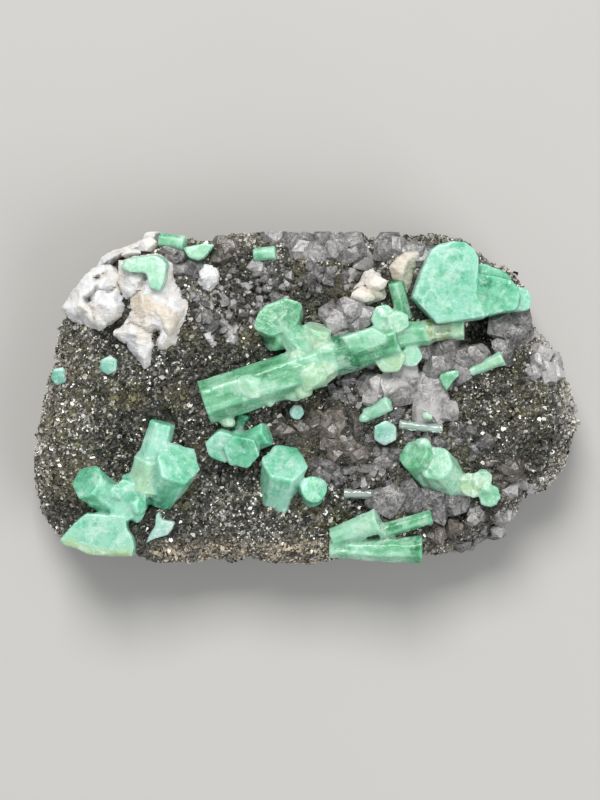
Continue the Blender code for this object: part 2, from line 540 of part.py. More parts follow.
def combine(obj, others, operation):
    """Joins the other objects to obj, or cuts them from it, all at once."""
    group = bpy.data.collections.new(f"{obj.name}_{operation.lower()}")
    for other in others:
        group.objects.link(other)
    obj.modifiers.new("triangles", "TRIANGULATE")
    boolean = obj.modifiers.new(operation.lower(), "BOOLEAN")
    boolean.operation = operation
    boolean.solver = "EXACT"
    boolean.operand_type = "COLLECTION"
    boolean.collection = group
    settle(obj)
    bpy.data.collections.remove(group)


def make_piece(name, forms, colour, home, tools):
    """One piece: its forms grown into each other as one solid. It also leaves a wider cutter for each form."""
    solids = [form.solid(f"{name}_form_{i}" if i else name, 0, home if i == 0 else tools)
              for i, form in enumerate(forms)]
    piece = solids[0]
    if len(solids) > 1:
        combine(piece, solids[1:], "UNION")
    piece.data.materials.clear()
    piece.data.materials.append(colour)
    cutters = [form.solid(f"{name}_socket_{i}", GAP, tools) for i, form in enumerate(forms)]
    return piece, cutters


def main():
    for obj in list(bpy.data.objects):
        bpy.data.objects.remove(obj)
    home = collection("beryl_on_matrix")
    tools = collection("cutters")
    tools.hide_render = True
    green = material("beryl_green", BERYL, 0.3)
    pale = material("beryl_pale", PALE_BERYL, 0.3)
    white = material("feldspar_white", FELDSPAR, 0.6)
    grey = material("quartz_grey", QUARTZ, 0.25)
    smoky = material("quartz_smoky", SMOKY_QUARTZ, 0.2)
    schist = material("mica_schist", SCHIST, 0.5)
    pale_nodes = ("shard", "clear", "left_hexagon", "left_edge", "blue", "beryl_hexagon")
    groups = [(name, forms, pale if any(word in name for word in pale_nodes) else green)
              for name, forms in BERYLS.items()]
    groups += [(name, forms, white) for name, forms in FELDSPARS.items()]
    groups += [(name, forms, smoky if "smoky" in name or "brown" in name else grey)
               for name, forms in QUARTZ_GRAINS.items()]
    sockets = []
    for name, forms, colour in groups:
        piece, cutters = make_piece(name, forms, colour, home, tools)
        neighbours = [socket for socket in sockets if near(piece, socket)]
        if neighbours:
            combine(piece, neighbours, "DIFFERENCE")
        keep_largest_body(piece)
        sockets += cutters
    slab = make_slab(home)
    slab.data.materials.append(schist)
    combine(slab, sockets, "DIFFERENCE")
    keep_largest_body(slab)
    flats = slab.modifiers.new("whole_flats", "DECIMATE")
    flats.decimate_type = "DISSOLVE"
    flats.angle_limit = math.radians(5)
    settle(slab)
    for tool in tools.objects:
        tool.hide_render = True
        tool.display_type = "WIRE"


main()
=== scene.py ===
"""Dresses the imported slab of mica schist, with its beryl crystals, quartz and feldspar, seen from above.

Lengths are millimetres until a mesh is made: MM turns them into Blender's metres. The forms repeat the
solids' places and sizes, and each piece here adds what is too fine for them: flakes, grains, grooves, steps
and chips. The order of the forms and patches matters, because each takes its random numbers in turn.
"""
import itertools
import math
import random
from dataclasses import dataclass

import bmesh
import bpy
import numpy as np
from mathutils import Matrix, Vector, noise
from mathutils.bvhtree import BVHTree


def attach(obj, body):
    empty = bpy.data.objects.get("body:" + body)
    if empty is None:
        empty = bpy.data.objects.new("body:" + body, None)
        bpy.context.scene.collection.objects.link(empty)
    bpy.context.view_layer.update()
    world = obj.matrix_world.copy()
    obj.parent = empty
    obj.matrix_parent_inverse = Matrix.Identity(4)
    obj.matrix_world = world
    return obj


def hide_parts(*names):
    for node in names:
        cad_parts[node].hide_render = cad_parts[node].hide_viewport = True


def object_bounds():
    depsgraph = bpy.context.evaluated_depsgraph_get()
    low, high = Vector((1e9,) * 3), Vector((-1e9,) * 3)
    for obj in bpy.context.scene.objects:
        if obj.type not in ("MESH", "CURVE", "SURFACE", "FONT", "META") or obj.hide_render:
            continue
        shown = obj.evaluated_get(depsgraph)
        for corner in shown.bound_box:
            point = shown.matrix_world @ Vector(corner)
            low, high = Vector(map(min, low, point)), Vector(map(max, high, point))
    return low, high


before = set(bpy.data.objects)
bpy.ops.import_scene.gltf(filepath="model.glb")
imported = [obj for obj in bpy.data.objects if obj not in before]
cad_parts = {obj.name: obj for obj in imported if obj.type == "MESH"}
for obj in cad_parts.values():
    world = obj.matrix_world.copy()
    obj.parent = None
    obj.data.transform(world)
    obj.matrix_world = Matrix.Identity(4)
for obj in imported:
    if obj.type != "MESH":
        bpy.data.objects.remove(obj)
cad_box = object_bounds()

MM = 0.001

# The slab, as in the solids.
FACE_HEIGHT = 16.0
FACE_SWELL = 1.1
EDGE_ROUNDING = 3.6
EDGE_DROP = 3.6
EDGE_FALL = 2.2           # how fast the drop fades over the rounding
BACK_ROUNDING = 5.0
BACK_INSET = 5.5
LEDGE_DEPTH = 2.2
LAYER_THICKNESS = 3.2

SLAB_GRAIN = 0.5          # mesh size of the slab
LUMP_GRAIN = 0.26         # mesh size of the feldspar
BERYL_GRAIN = 0.22        # mesh size of the beryl

FACE_FLAKES = 23000
WALL_FLAKES = 6500
BACK_FLAKES = 2200
SAND_GRAINS = 4200
FLAKE_RADIUS = 0.25       # middle of the flakes' radii
FLAKE_SIDES = 5
FLAKE_THICKNESS = 0.07
SAND_RADIUS = 0.2         # middle of the grains' radii
BLOCK_SHAPES = 12         # different shapes of the small quartz blocks
CRYSTAL_GAP = 0.05        # least distance of a flake or grain from the crystals
CRYSTAL_REACH = 4.0       # how far away a crystal still counts
FACE_UP = 0.35            # the slab is face, and not wall, where its normal's height is over this
BLOCK_UP = 0.2            # and blocks and sand lie where it's over this
FACE_LOWEST = 8           # the face's flakes lie above this height
CRUMB_STEPS = ((0.28, 0.9), (0.6, 0.5), (1.4, 0.16))    # fineness and depth of the feldspar's crumbs

BERYL_IOR = 1.575
QUARTZ_TRANSMISSION = 0.45
SCHIST_TONES = ("0b0e0b", "191c15", "2d2f26", "444537", "5d5c4c", "817e6f", "bab6a8", "f2f1ec")
SCHIST_SHARES = (0.16, 0.17, 0.16, 0.15, 0.13, 0.11, 0.08, 0.04)
ROCK_BRIGHTNESS = 0.79
TAN_BAND = (-27, 22, -22.3)    # left, right and upper end of the tan band along the near rim
QUARTZ_SEED = 11
SAND_SEED = 77
SLAB_SEED = 3

# The studio, in metres.
FLOOR_HALF = 4.0
FLOOR_GAP = 0.00001
LIGHT_TARGET = Vector((0, 0, 0.015))
LIGHTS = [                # name, place, size, watts and colour
    ("key", (-0.2, 0.90, 1.26), 0.7, 28.5, (1.0, 0.99, 0.97)),
    ("fill", (0.9, -0.6, 0.9), 1.0, 12.5, (0.97, 0.98, 1.0)),
]
SKY_COLOUR = (0.97, 0.98, 1.0, 1.0)
SKY_STRENGTH = 0.45
CAMERA_PLACE = (-0.0012, -0.00048, 0.42)    # it looks straight down
CAMERA_LENS = 115.0

# The slab's outline in plan.
RIM = [
    (-42.0, 0.0), (-41.2, 4.2), (-40.0, 6.0), (-39.6, 11.0), (-38.6, 13.2), (-37.6, 16.2), (-35.0, 19.3),
    (-31.5, 22.2), (-27.6, 24.2), (-24.2, 26.2), (-21.0, 25.8), (-17.2, 24.8), (-15.0, 25.0), (-11.8, 26.4),
    (-6.0, 26.1), (0.0, 26.2), (7.6, 26.4), (10.2, 25.3), (14.0, 25.6), (19.5, 26.0), (25.8, 24.9),
    (28.6, 21.9), (32.4, 20.0), (34.6, 17.6), (34.9, 13.6), (35.9, 11.2), (39.1, 8.1), (40.4, 4.4),
    (42.6, 0.0), (43.7, -4.0), (42.9, -6.2), (41.6, -9.8), (39.9, -13.0), (37.6, -15.0), (34.7, -15.4),
    (33.5, -19.2), (30.5, -21.6), (26.0, -23.9), (21.0, -25.3), (16.0, -25.2), (8.0, -25.4), (1.5, -26.7),
    (-5.0, -26.5), (-9.5, -25.6), (-12.0, -26.4), (-16.5, -25.8), (-23.0, -26.8), (-27.5, -25.4),
    (-33.0, -24.6), (-38.0, -22.8), (-40.4, -21.8), (-42.3, -19.0), (-43.2, -14.0), (-43.9, -10.0),
    (-43.0, -5.5),
]
# Hollows and rises of the face: middle, radius and rise.
FACE_FORMS = [
    ((-30.5, -11.0), 5.0, -2.2), ((-40.0, -19.0), 4.5, -2.4), ((4.0, 2.0), 4.5, -2.0),
    ((27.2, 10.2), 2.6, -3.4), ((-9.5, 16.8), 3.2, -1.6), ((9.0, 20.5), 3.5, -1.5),
    ((-30.5, 9.5), 3.5, -1.3), ((24.0, -22.0), 4.0, -2.2), ((35.5, -13.2), 3.0, -1.6),
    ((-14.0, -12.5), 4.5, -1.5), ((9.0, -17.0), 2.4, -1.8), ((31.0, -3.0), 8.0, 0.9),
    ((-36.0, -5.0), 7.0, 0.8), ((-12.0, 9.0), 5.0, 0.7),
]
# Quartz on the face: the patch's middle and half width and depth, its blocks, their radius and paleness.
QUARTZ_PATCHES = [
    (-6.0, 18.6, 3.5, 2.5, 24, 0.7, -0.7), (3.5, 18.8, 5.0, 2.0, 34, 0.8, -0.7),
    (-20.0, 20.5, 2.0, 3.0, 20, 0.8, -0.5), (-16.3, 12.5, 1.6, 2.2, 10, 0.8, -0.8),
    (6.8, -8.5, 7.2, 6.2, 120, 0.8, -0.6), (26.0, -20.5, 7.0, 4.0, 50, 0.9, -0.2),
    (31.0, -12.5, 4.0, 4.5, 40, 1.0, -0.4), (8.0, 1.0, 3.6, 3.0, 22, 0.9, 0.0),
    (24.0, -7.5, 5.0, 2.4, 26, 0.8, -0.5), (13.0, -1.0, 9.5, 9.0, 200, 0.8, -0.1),
    (-13.0, 15.0, 5.0, 6.5, 60, 0.6, 0.6), (-6.5, 15.0, 5.0, 4.0, 30, 0.65, 0.0),
    (-40.6, 3.3, 1.2, 1.6, 6, 0.7, 0.8), (0.5, -4.5, 5.0, 3.0, 36, 0.9, -0.9),
    (12.5, 18.0, 6.5, 5.0, 90, 0.8, 0.9), (36.8, 9.4, 2.4, 1.6, 14, 0.7, 1.2),
    (42.6, -2.4, 1.0, 1.8, 10, 0.6, 1.2), (36.8, -14.4, 1.2, 1.4, 8, 0.6, 1.2),
    (32.0, -20.0, 1.2, 1.2, 8, 0.6, 1.2),
]
# Olive and pale patches of the rock, and darker patches, each over one of the face's hollows: middle and
# radius.
OLIVE_PATCHES = [
    (-38.0, 1.0, 5.0), (-38.5, 8.5, 4.0), (-34.0, -20.0, 6.0), (33.0, -2.0, 6.0), (22.0, -2.0, 4.0),
    (-38.0, -12.0, 4.0),
]
DARK_PATCHES = [
    (-39.5, -18.5, 2.6), (27.2, 10.2, 2.0), (5.8, 3.6, 2.2), (-9.5, 16.8, 2.4), (-30.4, 9.6, 2.0),
]
PALE_PATCHES = [
    (43.0, -3.4, 2.6), (42.4, 0.5, 1.8), (38.6, 8.2, 2.8), (36.0, 10.6, 2.8), (40.5, -11.5, 1.8),
    (39.0, -13.6, 1.6), (35.2, 14.0, 1.3), (31.5, 21.0, 1.2), (28.0, 23.6, 1.0), (37.4, -14.6, 1.4),
    (32.8, -19.6, 1.6), (-43.0, -8.0, 1.2), (-42.0, 1.0, 1.4), (-40.6, 7.0, 1.4), (5.0, 26.2, 0.9),
    (-10.0, 25.6, 1.2),
]
# Where the whole ground is lighter or darker: middle, radius and how much.
LIT_PATCHES = [
    (-33.0, -8.0, 12.0, 0.45), (-10.0, 12.0, 9.0, 0.4), (-16.0, 3.0, 6.0, -0.25),
    (-12.0, -18.0, 9.0, 0.1), (33.0, -3.0, 9.0, -0.12), (4.0, -8.0, 8.0, -0.2),
]


# Noise, worked out for a whole array of points at once.

def hashed(cells, seed):
    """A number from 0 to 1 for each whole-number cell."""
    x, y, z = (cells[:, i].astype(np.int64).astype(np.uint64) for i in range(3))
    key = x * np.uint64(0x9E3779B185EBCA87)
    key ^= y * np.uint64(0xC2B2AE3D27D4EB4F)
    key ^= z * np.uint64(0x165667B19E3779F9)
    key ^= np.uint64((seed + 1) * 0x27D4EB2F165667C5 % 2 ** 64)
    key ^= key >> np.uint64(29)
    key *= np.uint64(0xBF58476D1CE4E5B9)
    key ^= key >> np.uint64(32)
    return (key >> np.uint64(40)).astype(float) / 2 ** 24


def smooth_noise(points, seed=0):
    """Noise from -1 to 1 that varies over about one unit."""
    cell = np.floor(points)
    part = points - cell
    fade = part ** 3 * (part * (part * 6 - 15) + 10)
    total = np.zeros(len(points))
    for corner in itertools.product((0, 1), repeat=3):
        weight = np.prod(np.where(corner, fade, 1 - fade), axis=1)
        total += weight * (2 * hashed(cell + corner, seed) - 1)
    return total


def layered_noise(points, octaves, seed=0, gain=0.5):
    """Smooth noise with finer and fainter noise laid over it."""
    return sum(smooth_noise(points * 2.03 ** i, seed + i) * gain ** i for i in range(octaves))


def cell_noise(points, seed=0):
    """For each point, its cell's number from 0 to 1, and how far it is from the cell's border."""
    base = np.floor(points)
    nearest = np.full(len(points), 9.0)
    second = nearest.copy()
    number = np.zeros(len(points))
    for step in itertools.product((-1, 0, 1), repeat=3):
        cell = base + step
        middle = cell + np.stack([hashed(cell, seed + i) for i in range(3)], axis=1)
        away = np.linalg.norm(points - middle, axis=1)
        closer = away < nearest
        second = np.where(closer, nearest, np.minimum(second, away))
        number = np.where(closer, hashed(cell, seed + 3), number)
        nearest = np.minimum(nearest, away)
    return number, second - nearest


def distance_inside(outline, points):
    """How far points are from the outline in plan: positive inside it, negative outside."""
    nearest = np.full(len(points), 1e9)
    inside = np.zeros(len(points), bool)
    x, y = points[:, 0], points[:, 1]
    for (x1, y1), (x2, y2) in zip(outline, outline[1:] + outline[:1]):
        dx, dy = x2 - x1, y2 - y1
        share = np.clip(((x - x1) * dx + (y - y1) * dy) / (dx * dx + dy * dy), 0, 1)
        nearest = np.minimum(nearest, np.hypot(x - x1 - share * dx, y - y1 - share * dy))
        if dy:
            inside ^= ((y1 > y) != (y2 > y)) & (x < x1 + (y - y1) / dy * dx)
    return np.where(inside, nearest, -nearest)


# Meshes.

def points_of(mesh):
    """A mesh's points, in millimetres."""
    found = np.empty(len(mesh.vertices) * 3, np.float32)
    mesh.vertices.foreach_get("co", found)
    return found.reshape(-1, 3).astype(float) / MM


def set_points(mesh, points):
    """Moves a mesh's points, none of them outside the solids' box."""
    low, high = (np.array(corner) for corner in cad_box)
    placed = np.clip(points * MM, low, high)
    mesh.vertices.foreach_set("co", placed.astype(np.float32).ravel())
    mesh.update()


def normals_of(mesh):
    """The way out of the surface at each point."""
    found = np.empty(len(mesh.vertices) * 3, np.float32)
    mesh.vertices.foreach_get("normal", found)
    return found.reshape(-1, 3).astype(float)


def triangles_of(mesh):
    """A mesh's faces, as three numbers of points each."""
    mesh.calc_loop_triangles()
    found = np.empty(len(mesh.loop_triangles) * 3, np.int32)
    mesh.loop_triangles.foreach_get("vertices", found)
    return found.reshape(-1, 3)


def mesh_of(name, points, faces):
    """A mesh from points in millimetres and an array of faces with the same number of corners."""
    mesh = bpy.data.meshes.new(name)
    mesh.vertices.add(len(points))
    corners = faces.shape[1]
    mesh.loops.add(faces.size)
    mesh.polygons.add(len(faces))
    mesh.polygons.foreach_set("loop_start", np.arange(0, faces.size, corners, dtype=np.int32))
    mesh.loops.foreach_set("vertex_index", faces.astype(np.int32).ravel())
    set_points(mesh, points)
    mesh.validate()
    return mesh


def add_object(name, mesh):
    """A new object in the scene."""
    made = bpy.data.objects.new(name, mesh)
    bpy.context.scene.collection.objects.link(made)
    return made


def object_of(bm, name):
    """A new object with the bmesh's shape, and the bmesh freed."""
    mesh = bpy.data.meshes.new(name)
    bm.to_mesh(mesh)
    bm.free()
    return add_object(name, mesh)


def settle(obj):
    """Applies the object's modifiers to its mesh."""
    bpy.context.view_layer.update()
    graph = bpy.context.evaluated_depsgraph_get()
    mesh = bpy.data.meshes.new_from_object(obj.evaluated_get(graph))
    obj.modifiers.clear()
    obj.data = mesh


def even_grid(obj, size):
    """Gives the object an even mesh whose faces are about size across."""
    remesh = obj.modifiers.new("even_grid", "REMESH")
    remesh.mode = "VOXEL"
    remesh.voxel_size = size * MM
    settle(obj)


def join(objects):
    """Unites overlapping closed objects in the first of them."""
    first, others = objects[0], objects[1:]
    for other in others:
        boolean = first.modifiers.new("union", "BOOLEAN")
        boolean.operation = "UNION"
        boolean.solver = "MANIFOLD"
        boolean.object = other
    if others:
        settle(first)
    for other in others:
        bpy.data.objects.remove(other)
    return first


def set_number(mesh, name, values):
    """Stores one number for each point, for the materials to read."""
    layer = mesh.attributes.new(name, "FLOAT", "POINT")
    layer.data.foreach_set("value", np.asarray(values, np.float32))


def smooth_over(mesh, values, rounds):
    """Spreads the points' values over their neighbours."""
    ends = np.empty(len(mesh.edges) * 2, np.int32)
    mesh.edges.foreach_get("vertices", ends)
    a, b = ends.reshape(-1, 2).T
    count = np.bincount(np.concatenate([a, b]), minlength=len(values)) + 1
    for _ in range(rounds):
        total = values + np.bincount(a, values[b], len(values)) + np.bincount(b, values[a], len(values))
        values = total / count
    return values


def relaxed(mesh, points, rounds):
    """The points, each drawn to the middle of its neighbours."""
    return np.column_stack([smooth_over(mesh, points[:, i], rounds) for i in range(3)])


def bulge(mesh, reach):
    """How sharply the surface turns outwards at each point, from 0 to 1, spread over its neighbours."""
    points = points_of(mesh)
    out = ((points - relaxed(mesh, points, 2)) * normals_of(mesh)).sum(axis=1)
    return np.clip(smooth_over(mesh, np.clip(out * 16, 0, 1), reach) * 1.4, 0, 1)


def plates(cells, sharpness=6):
    """Each point's cell number, and 1 on its plate falling to 0 in the seam between two of them."""
    number, border = cells
    return number, np.clip(border * sharpness, 0, 1)


def finish_piece(obj, material, nodes=(), *, sharp):
    """Shades the piece, keeps it in the solids' box, hangs it under the root, and hides any nodes that it
    stands for.

    Edges that turn by more than sharp degrees stay sharp."""
    set_points(obj.data, points_of(obj.data))
    obj.data.materials.clear()
    obj.data.materials.append(material)
    obj.data.shade_smooth()
    obj.data.set_sharp_from_angle(angle=math.radians(sharp))
    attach(obj, "root")
    if nodes:
        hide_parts(*nodes)
    return obj


# Forms.

class Form:
    """What most forms share: an even tint, even roughness, no grooves, and the slab's own frame."""
    stretch = (1.0, 1.0, 1.0)   # how close its steps are along each of its ways

    def local(self, points):
        """Points in the form's own frame."""
        return points

    def tints(self, local):
        """How pale each point is."""
        return np.full(len(local), self.tint)

    def groove_depths(self, local):
        """How deep the long grooves are at each point."""
        return np.zeros(len(local))

    def roughness(self, local):
        """How much of the wear each point gets, from 0 to 1."""
        return np.ones(len(local))


@dataclass
class Prism(Form):
    """A six-sided crystal, from the middle of one end to the middle of the other."""
    tail: tuple
    head: tuple
    width: float                # across the corners at the tail
    head_width: float = 0.0     # across the corners at the head, or 0 for the same
    roll: float = 0.0           # degrees about its length; 0 turns a flat side up
    lean: float = 0.0           # how steeply its head is turned upwards
    tint: float = 0.0           # paler towards 1, cream at 2, deeper towards -1
    fade: float = 0.0           # how much paler its tail is
    grooves: float = 0.03       # depth of the long grooves, in millimetres
    squash: float = 1.0         # its depth for its width
    soft: float = 0.05          # how much of each side is cut away at its corners
    stretch = (1.0, 1.0, 0.3)

    def frame(self):
        """Its length, and the ways across, up and along it."""
        span = np.array(self.head) - np.array(self.tail)
        length = np.linalg.norm(span)
        along = span / length
        side = np.cross((0.0, 0.0, 1.0), along)
        side = side / np.linalg.norm(side) if np.linalg.norm(side) > 0.05 else np.array((1.0, 0.0, 0.0))
        return length, side, np.cross(along, side), along

    def local(self, points):
        """Points in the crystal's own frame, its length last."""
        return (points - np.array(self.tail)) @ np.column_stack(self.frame()[1:])

    def tints(self, local):
        return self.tint + self.fade * np.clip(1 - local[:, 2] / self.frame()[0], 0, 1)

    def groove_depths(self, local):
        return np.full(len(local), self.grooves)

    def roughness(self, local):
        """The sides are stepped and grooved, and the ends nearly smooth."""
        head = self.frame()[0] - self.lean * local[:, 1]
        to_end = np.minimum(local[:, 2], head - local[:, 2])
        return np.clip(to_end / 0.7 - 0.3, 0.15, 1)

    def section(self, seed):
        """Its six-sided section for a width of 2, each side at a slightly different distance."""
        chance = np.random.default_rng(seed)
        walls = math.cos(math.pi / 6) * (1 + chance.uniform(-0.06, 0.06, 6))
        ways = np.radians(self.roll + 30 + 60 * np.arange(6))
        normals = np.column_stack([np.cos(ways), np.sin(ways)])
        corners = [np.linalg.solve(normals[[k - 1, k]], walls[[k - 1, k]]) for k in range(6)]
        ring = []
        for start, end in zip(corners, corners[1:] + corners[:1]):
            ring.append(start + (end - start) * self.soft)
            ring.append(end + (start - end) * self.soft)
        return np.array(ring) * (1, self.squash)

    def build(self, name, seed):
        length, side, up, along = self.frame()
        ring = self.section(seed)
        points = []
        for level, width in ((0.0, self.width), (length, self.head_width or self.width)):
            flat = ring * width / 2
            rise = -self.lean * flat[:, 1] * (level > 0)
            across = self.tail + flat[:, :1] * side + flat[:, 1:] * up
            points.append(across + (level + rise)[:, None] * along)
        count = len(ring)
        faces = [(j, (j + 1) % count, (j + 1) % count + count, j + count) for j in range(count)]
        faces += [tuple(range(count))[::-1], tuple(range(count, 2 * count))]
        mesh = bpy.data.meshes.new(name)
        mesh.from_pydata(np.concatenate(points) * MM, [], faces)
        return add_object(name, mesh)


def plan_solid(name, outline, bottom, top):
    """A closed object: the plan outline, raised from bottom to top."""
    curve = bpy.data.curves.new(name, "CURVE")
    curve.dimensions = "2D"
    curve.fill_mode = "BOTH"
    curve.extrude = (top - bottom) / 2 * MM
    spline = curve.splines.new("POLY")
    spline.points.add(len(outline) - 1)
    for point, (x, y) in zip(spline.points, outline):
        point.co = (x * MM, y * MM, 0, 1)
    spline.use_cyclic_u = True
    drawn = add_object(name, curve)
    bpy.context.view_layer.update()
    bm = bmesh.new()
    bm.from_mesh(drawn.evaluated_get(bpy.context.evaluated_depsgraph_get()).to_mesh())
    bpy.data.objects.remove(drawn)
    bmesh.ops.remove_doubles(bm, verts=bm.verts, dist=0.01 * MM)
    bmesh.ops.translate(bm, verts=bm.verts, vec=(0, 0, (top + bottom) / 2 * MM))
    bmesh.ops.recalc_face_normals(bm, faces=bm.faces)
    return object_of(bm, name)


def middle_of(outline):
    """The mean of an outline's corners."""
    xs, ys = zip(*outline)
    return np.array((sum(xs) / len(xs), sum(ys) / len(ys)))


@dataclass
class Table(Form):
    """A tabular or broken crystal, drawn in plan, with a top face that slopes."""
    outline: list
    bottom: float
    top: float
    slope: tuple = (0.0, 0.0)
    draft: float = 0.0          # how far the top edge is drawn in
    tint: float = 0.0

    def build(self, name, seed):
        made = plan_solid(name, self.outline, self.bottom, self.top)
        middle = middle_of(self.outline)
        points = points_of(made.data)
        upper = points[:, 2] > self.top - 0.01
        off = points[:, :2] - middle
        away = np.linalg.norm(off, axis=1, keepdims=True) + 1e-6
        off -= off / away * self.draft
        points[upper, 2] += (off @ np.array(self.slope))[upper]
        points[upper, :2] = (middle + off)[upper]
        set_points(made.data, points)
        return made


@dataclass
class Chunk(Form):
    """An angular grain: a block trimmed by many planes."""
    middle: tuple
    size: tuple
    cuts: int = 22
    tint: float = 0.0
    worn: float = 0.07          # width of the worn strip along its edges

    def build(self, name, seed):
        chance = random.Random(f"{seed} {self.middle}")
        bm = bmesh.new()
        bmesh.ops.create_cube(bm, size=2)
        for i in range(self.cuts):
            self.trim(bm, i, chance)
        turn = Matrix.Rotation(chance.uniform(0, math.pi), 3, "Z")
        for vert in bm.verts:
            vert.co = [(m + c * s / 2) * MM for m, c, s in zip(self.middle, turn @ vert.co, self.size)]
        bmesh.ops.remove_doubles(bm, verts=bm.verts, dist=0.02 * MM)
        bmesh.ops.bevel(bm, geom=bm.edges[:], offset=self.worn * MM, segments=1, affect="EDGES",
                        clamp_overlap=True)
        bmesh.ops.recalc_face_normals(bm, faces=bm.faces)
        return object_of(bm, name)

    def trim(self, bm, i, chance):
        """Cuts the block by one of its planes, which together face evenly every way."""
        level = 1 - 2 * (i + 0.5) / self.cuts
        angle = i * math.pi * (3 - math.sqrt(5)) + chance.uniform(-0.5, 0.5)
        ring = math.sqrt(1 - level * level)
        tilted = level + chance.uniform(-0.15, 0.15)
        way = Vector((ring * math.cos(angle), ring * math.sin(angle), tilted))
        way.normalize()
        geom = bm.verts[:] + bm.edges[:] + bm.faces[:]
        cut = bmesh.ops.bisect_plane(bm, geom=geom, dist=1e-5, plane_co=way * chance.uniform(0.74, 0.94),
                                     plane_no=way, clear_outer=True)
        rim = [e for e in cut["geom_cut"] if isinstance(e, bmesh.types.BMEdge)]
        if rim:
            bmesh.ops.contextual_create(bm, geom=rim)


@dataclass
class Lump(Form):
    """A domed, crumbly lump of feldspar, drawn in plan."""
    outline: list
    bottom: float
    top: float
    pits: tuple = ()            # middle, radius and depth of each hollow
    cracks: tuple = ()          # start, end, half width and depth of each groove
    tint: float = 0.0
    rough: float = 0.75

    def build(self, name, seed):
        made = plan_solid(name, self.outline, self.bottom, self.top)
        even_grid(made, LUMP_GRAIN)
        at = self.weathered(points_of(made.data), seed)
        set_points(made.data, at)
        depth = 0.08 * layered_noise(at * 2.2, 3, seed, 0.7)
        for scale, step in CRUMB_STEPS:
            number, plate = plates(cell_noise(at * scale + seed * 3.1, 21))
            depth += self.rough * step * (number - 0.45) * plate
        set_points(made.data, at - normals_of(made.data) * depth[:, None])
        return made

    def weathered(self, at, seed):
        """Its points, with the top domed, pitted and cracked and the sides crumbled."""
        inside = np.maximum(distance_inside(self.outline, at), 0)
        height = (at[:, 2] - self.bottom) / (self.top - self.bottom)
        upper = np.clip((height - 0.35) / 0.65, 0, 1)
        at[:, 2] -= (at[:, 2] - self.bottom) * 0.4 * upper * np.exp(-inside / 1.6)
        for (x, y), radius, depth in self.pits:
            at[:, 2] -= upper * depth * np.exp(-((at[:, 0] - x) ** 2 + (at[:, 1] - y) ** 2) / radius ** 2)
        bend = 0.45 * np.column_stack([smooth_noise(at * 0.9, seed + 8), smooth_noise(at * 0.9, seed + 9)])
        for start, end, width, depth in self.cracks:
            away = distance_to_line(at[:, :2] + bend, start, end)
            at[:, 2] -= upper * depth * np.exp(-(away / width) ** 2)
        way = middle_of(self.outline) - at[:, :2]
        way /= np.linalg.norm(way, axis=1, keepdims=True) + 0.5
        crumble = 0.3 * np.abs(layered_noise(at * 0.45, 4, seed, 0.6))
        at[:, :2] += way * ((crumble + 0.15 * upper) * np.clip(height, 0, 1))[:, None]
        return at


@dataclass
class Bed:
    """A stretch of quartz grains grown tight together, drawn in plan."""
    outline: list
    spacing: float = 2.2
    rise: float = 0.6           # how far the grains' tops stand above the rock
    tint: float = 0.0

    def blocks(self, chance):
        """Its grains, each a chunk that overlaps its neighbours."""
        xs, ys = zip(*self.outline)
        for x in np.arange(min(xs), max(xs), self.spacing):
            for y in np.arange(min(ys), max(ys), self.spacing):
                at = (x + chance.uniform(-0.4, 0.4) * self.spacing,
                      y + chance.uniform(-0.4, 0.4) * self.spacing)
                if distance_inside(self.outline, np.array([at]))[0] < 0.25 * self.spacing:
                    continue
                wide = self.spacing * chance.uniform(1.5, 2.4)
                deep = self.spacing * chance.uniform(1.5, 2.4)
                top = ground_height(*at) + 0.5 + self.rise * chance.uniform(0.4, 1.1)
                yield Chunk((*at, top - 1.2), (wide, deep, 2.7), cuts=13, worn=0.04,
                            tint=self.tint + chance.uniform(-0.6, 0.6))


def distance_to_line(points, start, end):
    """How far points in plan are from a straight line between two places."""
    way = np.subtract(end, start)
    share = np.clip((points - start) @ way / (way @ way), 0, 1)
    return np.linalg.norm(points - start - share[:, None] * way, axis=1)


def nearest_forms(obj, trees):
    """For each point of the object, the number of the form whose surface is nearest."""
    owner = np.zeros(len(obj.data.vertices), int)
    for i, vert in enumerate(obj.data.vertices):
        near = [tree.find_nearest(vert.co, 1.0 * MM)[3] for tree in trees]
        near = [math.inf if away is None else away for away in near]
        owner[i] = near.index(min(near))
    return owner


def grown_together(name, forms, seed, grain=0.0):
    """One object of all the forms, united. Each point has its form's paleness and its place along it.

    With a mesh size as its grain, it's also worn: see wear."""
    solids = [form.build(f"{name}_{i}" if i else name, seed + 13 * i) for i, form in enumerate(forms)]
    trees = [tree_of(solid) for solid in solids]
    obj = join(solids)
    obj.name = name
    if grain:
        even_grid(obj, grain)
        set_points(obj.data, relaxed(obj.data, points_of(obj.data), 1))
    owner = nearest_forms(obj, trees)
    points = points_of(obj.data)
    own = np.zeros((len(points), 3))
    tint, grooves, rough = np.zeros((3, len(points)))
    for i, form in enumerate(forms):
        mine = owner == i
        local = form.local(points[mine])
        own[mine] = local + 7.7 * i
        tint[mine] = form.tints(local)
        grooves[mine] = form.groove_depths(local)
        rough[mine] = form.roughness(local)
    if grain:
        stretches = np.array([form.stretch for form in forms])[owner]
        wear(obj, own, own * stretches, grooves, smooth_over(obj.data, rough, 2), seed)
    set_number(obj.data, "edge", bulge(obj.data, 4))
    set_number(obj.data, "tint", smooth_over(obj.data, tint, 4))
    layer = obj.data.attributes.new("grain", "FLOAT_VECTOR", "POINT")
    layer.data.foreach_set("vector", own.astype(np.float32).ravel())
    return obj


